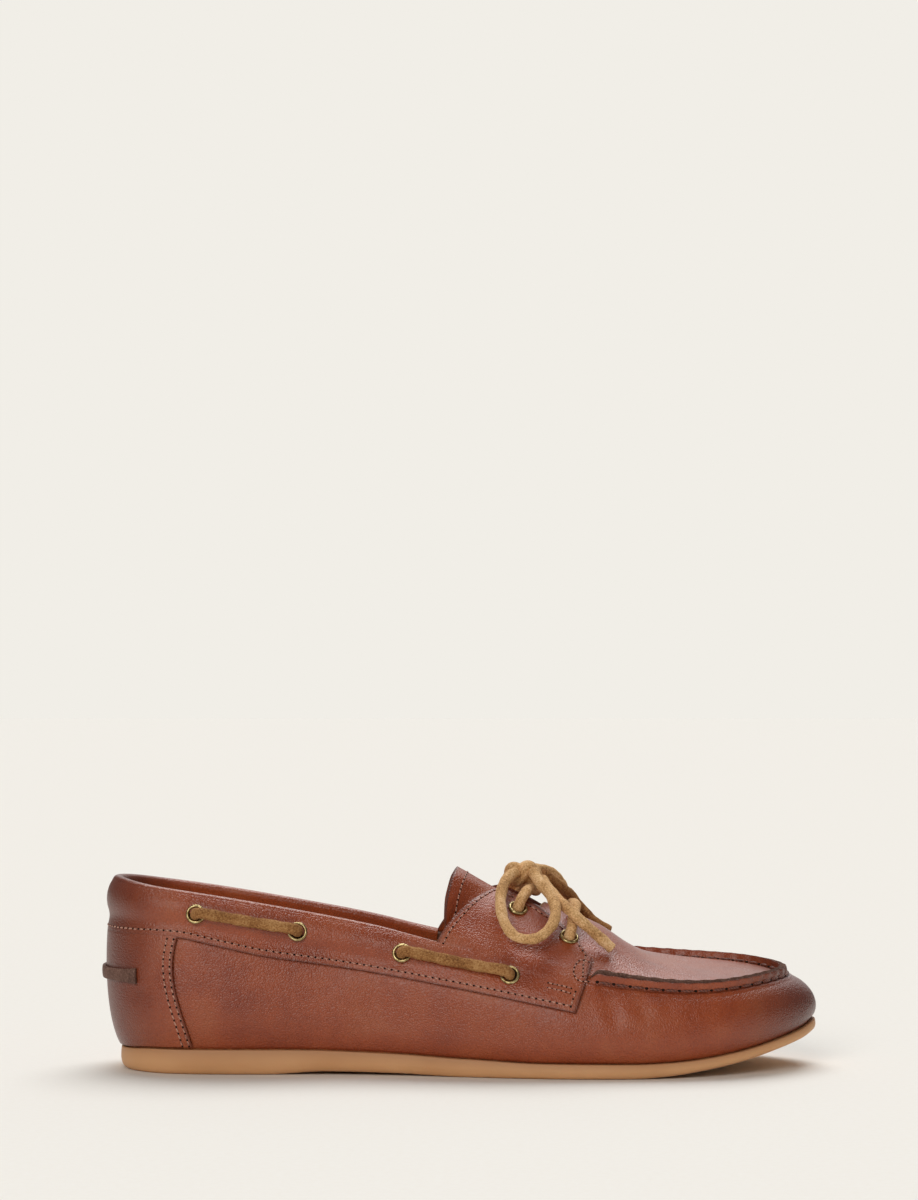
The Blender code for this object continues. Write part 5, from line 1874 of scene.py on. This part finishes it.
@dataclass
class Sole:
    """The moulded outsole and the padded insole on it."""

    last: Last
    finishes: Finishes
    margin: float = 1.2 * MM
    columns: int = 480
    side_rows: int = 30
    tread_rows: int = 24
    top_rows: int = 6
    sock_grid: tuple[int, int] = (160, 48)
    sock: float = 3.0 * MM
    wall_gap: float = 1.9 * MM
    # Reach out as a share of the sole's thickness, and height as a share of it, from the top
    side: tuple[tuple[float, float], ...] = (
        (-0.16, 1.00),
        (-0.04, 1.00),
        (0.010, 0.985),
        (0.030, 0.93),
        (0.045, 0.80),
        (0.055, 0.62),
        (0.055, 0.45),
        (0.035, 0.30),
        (0.000, 0.18),
        (-0.055, 0.09),
        (-0.130, 0.035),
        (-0.220, 0.008),
        (-0.330, 0.00),
    )

    def side_place(self, s: Array, t: Array) -> tuple[Array, Array]:
        """Places the outsole's side.

        Args:
            s: Shares of the way round.
            t: Shares of the way from its bottom edge to its top one.

        Returns:
            The points, and how much painted shade and reflection of the upper each has, most at the
            top.
        """
        u = s * ROUND
        foot = self.last.foot(u)
        bottom, top = self.last.sole_profile(foot[:, 0])
        rows = np.array(self.side[::-1])
        found = spline(rows, t * (len(rows) - 1))
        points = foot + self.last.outward(u) * (
            self.margin + found[:, :1] * self.last.sole_thickness
        )
        points[:, 2] = bottom + (top - bottom) * found[:, 1]
        # Painted shade and reflection: the side goes darker brown toward its top, under the upper.
        return points, 0.9 * ramp(found[:, 1], 0.25, 1) ** 2

    def flat_place(self, s: Array, t: Array, end: float) -> Array:
        """Places the outsole's top or bottom face.

        Args:
            s: Shares of the way forward.
            t: Shares of the way across, from the lateral edge to the medial one.
            end: Which face: 0 is the bottom and 1 is the top.

        Returns:
            The points.
        """
        lateral, medial = (
            self.side_place(self.last.place(s * TIP, side) / ROUND, 0 * s + end)[0] for side in Side
        )
        return lateral + (medial - lateral) * t[:, None]

    def sock_place(self, s: Array, t: Array) -> Array:
        """Places the insole's face, a little crowned in its middle.

        Args:
            s: Shares of the way forward.
            t: Shares of the way across, from the lateral edge to the medial one.

        Returns:
            The points.
        """
        across = 2 * t - 1
        places = (self.last.place(0.02 + s * (TIP - 0.04), side) for side in Side)
        lateral, medial = (
            self.last.foot(u) - self.last.outward(u) * self.wall_gap for u in places
        )
        points = lateral + (medial - lateral) * t[:, None]
        _, top = self.last.sole_profile(points[:, 0])
        rim = np.abs(across) ** 6
        points[:, 2] = top + self.last.gap + self.sock * (1 - 0.25 * rim)
        points[:, 2] += 0.25 * MM * np.cos(across * 3.0)
        return points

    def make(self) -> None:
        """Makes both."""
        half = self.columns // 2
        sides = new_grid(self.columns, self.side_rows, self.side_place, closed=True)
        under = new_grid(half, self.tread_rows, partial(self.flat_place, end=0.0))
        over = new_grid(half, self.top_rows, partial(self.flat_place, end=1.0))
        for face in under.faces:
            face.material_index = 1
        bm = joined([sides, under, over])
        rubbers = [self.finishes.rubber, self.finishes.tread]
        finish_piece("outsole", bm, rubbers, ["outsole"])
        bm = new_grid(*self.sock_grid, self.sock_place)
        edges = Edges(self.sock - 0.2 * MM, 0.4 * MM)
        sock, facing = [self.finishes.lining], (0, 0, -0.2)
        finish_piece("insole", bm, sock, ["insole"], edges, facing)


@dataclass
class Eyelets:
    """The brass eyelets: turned rings with a rounded brim, and a dark disc of painted shade in
    their bores.
    """

    last: Last
    finishes: Finishes
    # Radius and height over the leather, in mm, from inside the bore over the brim
    profile: tuple[tuple[float, float], ...] = (
        (2.40, -1.10),
        (2.40, 0.05),
        (2.46, 0.38),
        (2.66, 0.66),
        (2.98, 0.80),
        (3.30, 0.74),
        (3.54, 0.50),
        (3.66, 0.18),
        (3.62, 0.02),
    )
    steps: int = 40
    # The dark disc of painted shade that closes the bore: its radius and its height
    bore_shade: tuple[float, float] = (2.42 * MM, -0.1 * MM)

    def frame(self, seat: tuple[float, float, float]) -> Matrix:
        """The turn and place of an eyelet on its seat."""
        u, v, lift = (np.array([value]) for value in seat)
        normal = Vector(self.last.normal(u, v)[0])
        point = self.last.raised(u, v, lift)[0] - ORIGIN
        return Matrix.LocRotScale(Vector(point), normal.to_track_quat("Z", "X"), None)

    def make(self) -> None:
        """Makes the twelve."""
        for side in Side:
            for number, seat in enumerate(self.last.seats(side), start=1):
                name = f"eyelet_{side.name.lower()}_{number}"
                bm = bmesh.new()
                verts = [bm.verts.new((r * MM, 0, z * MM)) for r, z in self.profile]
                edges = [bm.edges.new(pair) for pair in zip(verts, verts[1:])]
                bmesh.ops.spin(
                    bm,
                    geom=verts + edges,
                    axis=(0, 0, 1),
                    cent=(0, 0, 0),
                    angle=2 * math.pi,
                    steps=self.steps,
                    use_merge=True,
                )
                bmesh.ops.remove_doubles(bm, verts=bm.verts, dist=TOUCHING)
                bmesh.ops.recalc_face_normals(bm, faces=bm.faces)
                top = max(bm.faces, key=lambda face: face.calc_center_median().z)
                if top.normal.z < 0:
                    bmesh.ops.reverse_faces(bm, faces=bm.faces)
                bore_shade = bmesh.ops.create_circle(
                    bm,
                    cap_ends=True,
                    segments=self.steps,
                    radius=self.bore_shade[0],
                    matrix=Matrix.Translation((0, 0, self.bore_shade[1])),
                )
                # The disc takes the dark material, as painted shade in the bore.
                for face in bore_shade["verts"][0].link_faces:
                    face.material_index = 1
                bmesh.ops.transform(bm, matrix=self.frame(seat), verts=bm.verts)
                metals = [self.finishes.brass, self.finishes.hole]
                finish_piece(name, bm, metals, [name])


@dataclass
class Strand:
    """A round thong of lace along a line, with its two cut ends.

    The thong is a little flattened and its thickness wanders, as cut leather's does.
    """

    width: float = 4.1 * MM
    height: float = 3.7 * MM
    sides: int = 20
    step: float = 0.55 * MM
    wander: float = 0.045
    # The power that makes its section squarer than round
    squareness: float = 0.85
    # Rows of each cut end, how far one stands out, and the least share of the width there
    cap_rows: int = 5
    cap_step: float = 0.09 * MM
    cap_share: float = 0.35

    def grid(self, line: Array, up: Array) -> BMesh:
        """The strand's mesh.

        Args:
            line: The points of its middle.
            up: The direction that its flatter face turns to at the line's middle.

        Returns:
            The mesh, closed at both ends.
        """
        steps = distances(line)
        count = max(12, round(steps[-1] / self.step))
        marks = np.linspace(0, steps[-1], count + 1)
        middle = read_line(line, steps, marks)
        tangent = unit(np.gradient(middle, axis=0))
        normal = np.zeros_like(middle)
        start = count // 2
        normal[start] = unit(up - tangent[start] * (tangent[start] @ up))
        for order in (range(start + 1, count + 1), range(start - 1, -1, -1)):
            last = normal[start]
            for index in order:
                last = unit(last - tangent[index] * (last @ tangent[index]))
                normal[index] = last
        beside, caps = np.cross(tangent, normal), self.cap_rows

        def place(s: Array, t: Array) -> Array:
            """Places the skin: s runs round the strand, and t along it over both caps."""
            row = np.rint(t * (count + 2 * caps)).astype(int)
            index = np.clip(row - caps, 0, count)
            before = np.clip(caps - row, 0, caps)
            after = np.clip(row - count - caps, 0, caps)
            short = np.sqrt(1 - ((before + after) / caps) ** 2)
            short = self.cap_share + (1 - self.cap_share) * short
            short = np.where(before + after == caps, 0.0, short)
            poke = (after - before) * self.cap_step
            turn = 2 * np.pi * s
            run = index / count * steps[-1] / MM
            swell = 1 + self.wander * (np.sin(run * 0.61 + 1.3) + 0.6 * np.sin(run * 1.37))
            x, y = (
                np.sign(wave) * np.abs(wave) ** self.squareness * size / 2
                for wave, size in ((np.cos(turn), self.width), (np.sin(turn), self.height))
            )
            points = middle[index] + tangent[index] * poke[:, None]
            points = points + beside[index] * (x * short * swell)[:, None]
            return points + normal[index] * (y * short * swell)[:, None]

        return new_grid(self.sides, count + 2 * caps, place, closed=True)


# The bow's routes from the middle of the upper bar: shares of the bow's span along, across, up
BOW_SPAN = 0.030
KNOT_SIZE = (0.493, 0.433, 0.287)
KNOT_PLACE = (-0.162, -0.012, 0.203)
LOOP_LATERAL = (
    (-0.050, -0.238, 0.238),
    (0.032, -0.440, 0.110),
    (0.158, -0.660, -0.030),
    (0.212, -0.880, -0.187),
    (0.160, -1.080, -0.360),
    (-0.030, -1.208, -0.505),
    (-0.278, -1.195, -0.487),
    (-0.418, -1.045, -0.320),
    (-0.462, -0.812, -0.100),
    (-0.428, -0.562, 0.080),
    (-0.345, -0.345, 0.190),
    (-0.262, -0.255, 0.233),
)
LOOP_MEDIAL = (
    (-0.022, 0.198, 0.240),
    (0.145, 0.392, 0.203),
    (0.298, 0.608, 0.073),
    (0.375, 0.828, -0.147),
    (0.305, 0.988, -0.377),
    (0.105, 1.088, -0.460),
    (-0.112, 1.022, -0.354),
    (-0.262, 0.838, -0.154),
    (-0.312, 0.605, 0.033),
    (-0.295, 0.372, 0.180),
    (-0.245, 0.228, 0.233),
)
END_LATERAL = (
    (0.062, -0.138, 0.136),
    (0.152, -0.352, 0.020),
    (0.265, -0.585, -0.097),
    (0.395, -0.845, -0.207),
    (0.528, -0.878, -0.327),
    (0.708, -0.822, -0.487),
    (0.905, -0.802, -0.667),
)
END_MEDIAL = (
    (0.085, 0.095, 0.190),
    (0.188, 0.168, 0.113),
    (0.288, 0.302, 0.026),
    (0.375, 0.475, -0.047),
    (0.458, 0.665, -0.134),
    (0.588, 0.682, -0.300),
    (0.755, 0.582, -0.460),
    (0.932, 0.622, -0.574),
)


@dataclass
class Lacing:
    """The leather lace: its runs through the side eyelets, the two bars and the tied bow."""

    last: Last
    finishes: Finishes
    strand: Strand = field(default_factory=Strand)
    low: float = 2.4 * MM
    run_dip: float = 0.24
    bar_rise: float = 0.5
    bar_dip: float = 0.78
    knot_droop: float = 0.5
    fineness: float = 0.8 * MM
    # Reach from the eyelet's middle, and height over the leather
    rise: tuple[tuple[float, float], ...] = (
        (0.0, -1.2 * MM),
        (0.0, 0.6 * MM),
        (0.5 * MM, 2.4 * MM),
        (1.9 * MM, 3.55 * MM),
        (4.0 * MM, 3.7 * MM),
    )

    def run(self, first: tuple, second: tuple) -> Array:
        """Routes a straight run between two eyelets of one side.

        Args:
            first: The seat of its rear eyelet.
            second: The seat of its front eyelet.

        Returns:
            The points that it passes.
        """
        u, v = np.array([first[0], second[0]]), np.array([first[1], second[1]])
        span = np.linalg.norm(np.diff(self.last.skin(u, v), axis=0))
        over = (self.rise[-1][1] + self.low) / 2
        places = [(reach / span, first[2] + height) for reach, height in self.rise]
        places += [(self.run_dip, first[2] + over), (0.5, (first[2] + second[2]) / 2 + self.low)]
        places.append((1 - self.run_dip, second[2] + over))
        places += [(1 - reach / span, second[2] + height) for reach, height in self.rise[::-1]]
        part, lift = np.array(places).T
        return self.last.raised(u[0] + (u[1] - u[0]) * part, v[0] + (v[1] - v[0]) * part, lift)

    def bar(self, lateral: tuple, medial: tuple, crown_lift: float) -> Array:
        """Routes a bar over the middle line, from one facing's eyelet to the other's.

        Args:
            lateral: The seat of its lateral eyelet.
            medial: The seat of its medial eyelet.
            crown_lift: Its height over the skin in the middle.

        Returns:
            The points that it passes.
        """
        crown = (lateral[0] + ROUND - medial[0]) / 2
        over = (self.rise[-1][1] + self.low) / 2
        halves = []
        for side, (u, v, lift) in ((Side.LATERAL, lateral), (Side.MEDIAL, medial)):
            ends = self.last.skin(np.array([u, crown]), np.array([v, 2.0]))
            span = np.linalg.norm(np.diff(ends, axis=0))
            pair = u if side is Side.LATERAL else ROUND - u
            rows = [(reach / span, lift + height) for reach, height in self.rise]
            rows.append((self.bar_rise, (lift + over + self.rise[-1][1] + lift) / 2))
            rows.append((self.bar_dip, (lift + over + crown_lift) / 2))
            part, height = np.array(rows).T
            places = self.last.place(pair + (crown - pair) * part, side)
            halves.append(self.last.raised(places, v + (2 - v) * part, height))
        middle = self.last.raised(np.array([crown]), np.array([2.0]), np.array([crown_lift]))
        return np.concatenate([halves[0], middle, halves[1][::-1]])

    def lay(
        self,
        name: str,
        line: Array,
        up: Array = UP,
        worn: bool = False,
        strand: Strand | None = None,
    ) -> bpy.types.Object:
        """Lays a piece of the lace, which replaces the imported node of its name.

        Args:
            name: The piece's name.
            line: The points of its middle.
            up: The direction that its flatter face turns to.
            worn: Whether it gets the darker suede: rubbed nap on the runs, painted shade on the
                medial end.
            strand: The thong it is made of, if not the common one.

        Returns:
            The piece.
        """
        suede = self.finishes.rubbed_and_shaded_suede if worn else self.finishes.suede
        bm = (strand or self.strand).grid(line, up)
        return finish_piece(name, bm, [suede], [name])

    def make_bow(self) -> None:
        """Ties the bow: two loops and two ends as free cords, and the knot."""
        knot = self.make_knot()
        routes = (
            ("bow_loop_lateral", LOOP_LATERAL, "object"),
            ("bow_loop_medial", LOOP_MEDIAL, "object"),
            ("lace_end_lateral", END_LATERAL, "bare"),
            ("lace_end_medial", END_MEDIAL, "bare"),
        )
        for name, route, far_end in routes:
            line = smooth_line(BAR_MIDDLE + np.array(route) * BOW_SPAN, self.fineness)
            # The medial end gets the darker suede as painted shade, where it lies on the far side
            # of the plug.
            piece = self.lay(name, line, worn=name == "lace_end_medial")

    def make_knot(self) -> bpy.types.Object:
        """The tied knot, a thong drawn round itself three times."""
        turn = np.linspace(0, 2 * np.pi, 120)
        strand = Strand(width=4.5 * MM, height=4.2 * MM)
        half = np.array(KNOT_SIZE) * BOW_SPAN / 2 - strand.width * 0.48
        half[2] *= 1.25
        wide = np.stack(
            [
                (np.sin(turn) + 2 * np.sin(2 * turn)) / 2.76,
                (np.cos(turn) - 2 * np.cos(2 * turn)) / 3.0,
                -np.sin(3 * turn),
            ],
            axis=1,
        )
        wide[:, 2] -= self.knot_droop * wide[:, 0] ** 2
        line = BAR_MIDDLE + np.array(KNOT_PLACE) * BOW_SPAN + wide * half
        return self.lay("bow_knot", line, strand=strand)

    def make(self) -> None:
        """Runs the lace through the eyelets."""
        seats = {side: self.last.seats(side) for side in Side}
        for side in Side:
            for number, (first, second) in enumerate(((0, 1), (2, 3)), start=1):
                a, b = seats[side][first], seats[side][second]
                line = smooth_line(self.run(a, b), self.fineness)
                out = self.last.normal(np.array([(a[0] + b[0]) / 2]), 0.9)[0]
                self.lay(f"lace_run_{side.name.lower()}_{number}", line, out, worn=True)
        for which, number, crown in (("upper", 4, 2.5 * MM), ("lower", 5, 2.6 * MM)):
            points = self.bar(*(seats[side][number] for side in Side), crown)
            self.lay(f"lace_bar_{which}", smooth_line(points, self.fineness))


@dataclass
class Studio:
    """The camera, the pale floor and the soft lights."""

    camera_place: tuple[float, float, float] = (-0.0002, -1.198629, 0.156)
    lens: float = 95.82
    shift: float = 0.041
    floor_size: float = 12.0
    backdrop: str = "#f1eee7"
    walls: float = 0.17
    sensor: float = 36.0
    # Name, direction from the shoe, spread in degrees, power and colour
    lights: tuple[tuple, ...] = (
        ("overhead light", (0.05, 0.50, 1.0), 45.0, 2.25, "#ffffff"),
        ("front light", (-0.35, -1.0, 0.58), 30.0, 1.2, "#fffaf4"),
        ("back light", (0.10, 1.0, 0.45), 50.0, 0.35, "#ffffff"),
    )

    def make_camera(self) -> None:
        """The camera, level with a point over the shoe and looking along +Y."""
        data = bpy.data.cameras.new("photo camera")
        data.lens = self.lens
        data.sensor_width = self.sensor
        data.shift_y = self.shift
        data.clip_start = 0.05
        camera = bpy.data.objects.new("photo camera", data)
        camera.location = self.camera_place
        camera.rotation_euler = (math.radians(90), 0, 0)
        bpy.context.scene.collection.objects.link(camera)
        bpy.context.scene.camera = camera

    def make_light(
        self, name: str, toward: Sequence[float], spread: float, power: float, colour: str
    ) -> None:
        """Makes one broad, even light.

        Args:
            name: Its name.
            toward: The direction from the shoe to the light.
            spread: How wide it looks from the shoe, in degrees.
            power: How much light it gives.
            colour: Its sRGB colour.
        """
        data = bpy.data.lights.new(name, "SUN")
        data.angle = math.radians(spread)
        data.energy = power
        data.color = srgb(colour)[:3]
        light = bpy.data.objects.new(name, data)
        light.rotation_euler = Vector(toward).to_track_quat("Z", "Y").to_euler()
        bpy.context.scene.collection.objects.link(light)

    def make(self) -> None:
        """Makes the floor, the world and the lights."""
        bm = bmesh.new()
        bmesh.ops.create_grid(bm, x_segments=4, y_segments=4, size=self.floor_size / 2)
        mesh = bpy.data.meshes.new("studio_floor")
        bm.to_mesh(mesh)
        bm.free()
        mesh.materials.append(StudioSweep().make())
        floor = bpy.data.objects.new("studio_floor", mesh)
        bpy.context.scene.collection.objects.link(floor)
        self.make_world()
        bpy.context.scene.view_settings.view_transform = "Standard"
        for light in self.lights:
            self.make_light(*light)

    def make_world(self) -> None:
        """The pale backdrop, and the weaker light that the studio's walls throw back."""
        world = bpy.data.worlds.new("soft studio")
        world.use_nodes = True
        tree = world.node_tree
        backdrop = tree.nodes["Background"]
        fill(tree, backdrop, {"Color": srgb(self.backdrop), "Strength": 1.0})
        colour = {"Color": srgb(self.backdrop)}
        walls = add(tree, "ShaderNodeBackground", {**colour, "Strength": self.walls})
        seen = add(tree, "ShaderNodeLightPath", {}).outputs["Is Camera Ray"]
        mixed = {0: seen, 1: walls.outputs[0], 2: backdrop.outputs[0]}
        both = add(tree, "ShaderNodeMixShader", mixed)
        fill(tree, tree.nodes["World Output"], {"Surface": both.outputs[0]})
        bpy.context.scene.world = world


def main() -> None:
    """Builds the shoe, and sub-assembly by sub-assembly."""
    logging.basicConfig(level=logging.INFO, format="%(name)s: %(message)s")
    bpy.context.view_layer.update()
    studio = Studio()
    studio.make_camera()
    last, finishes = Last(), Finishes()
    lacing = Lacing(last, finishes)
    lacing.make_bow()
    lacing.make()
    Eyelets(last, finishes).make()
    Sole(last, finishes).make()
    Tongue(last, finishes).make()
    seam = Seam(last)
    vamp, plug = Vamp(last, seam, finishes), Plug(last, seam, finishes)
    vamp.make()
    plug.make()
    heavy = [vamp.seam_line(side) for side in (-1, 1)]
    sew("moccasin_stitch", heavy, MOCCASIN_STITCH, finishes, heavy=True)
    HeelCounter(last, finishes).make()
    HeelStrap(last, finishes).make()
    band = CollarBand(last, finishes)
    band.make()
    band.sew()
    studio.make()


if __name__ == "__main__":
    main()
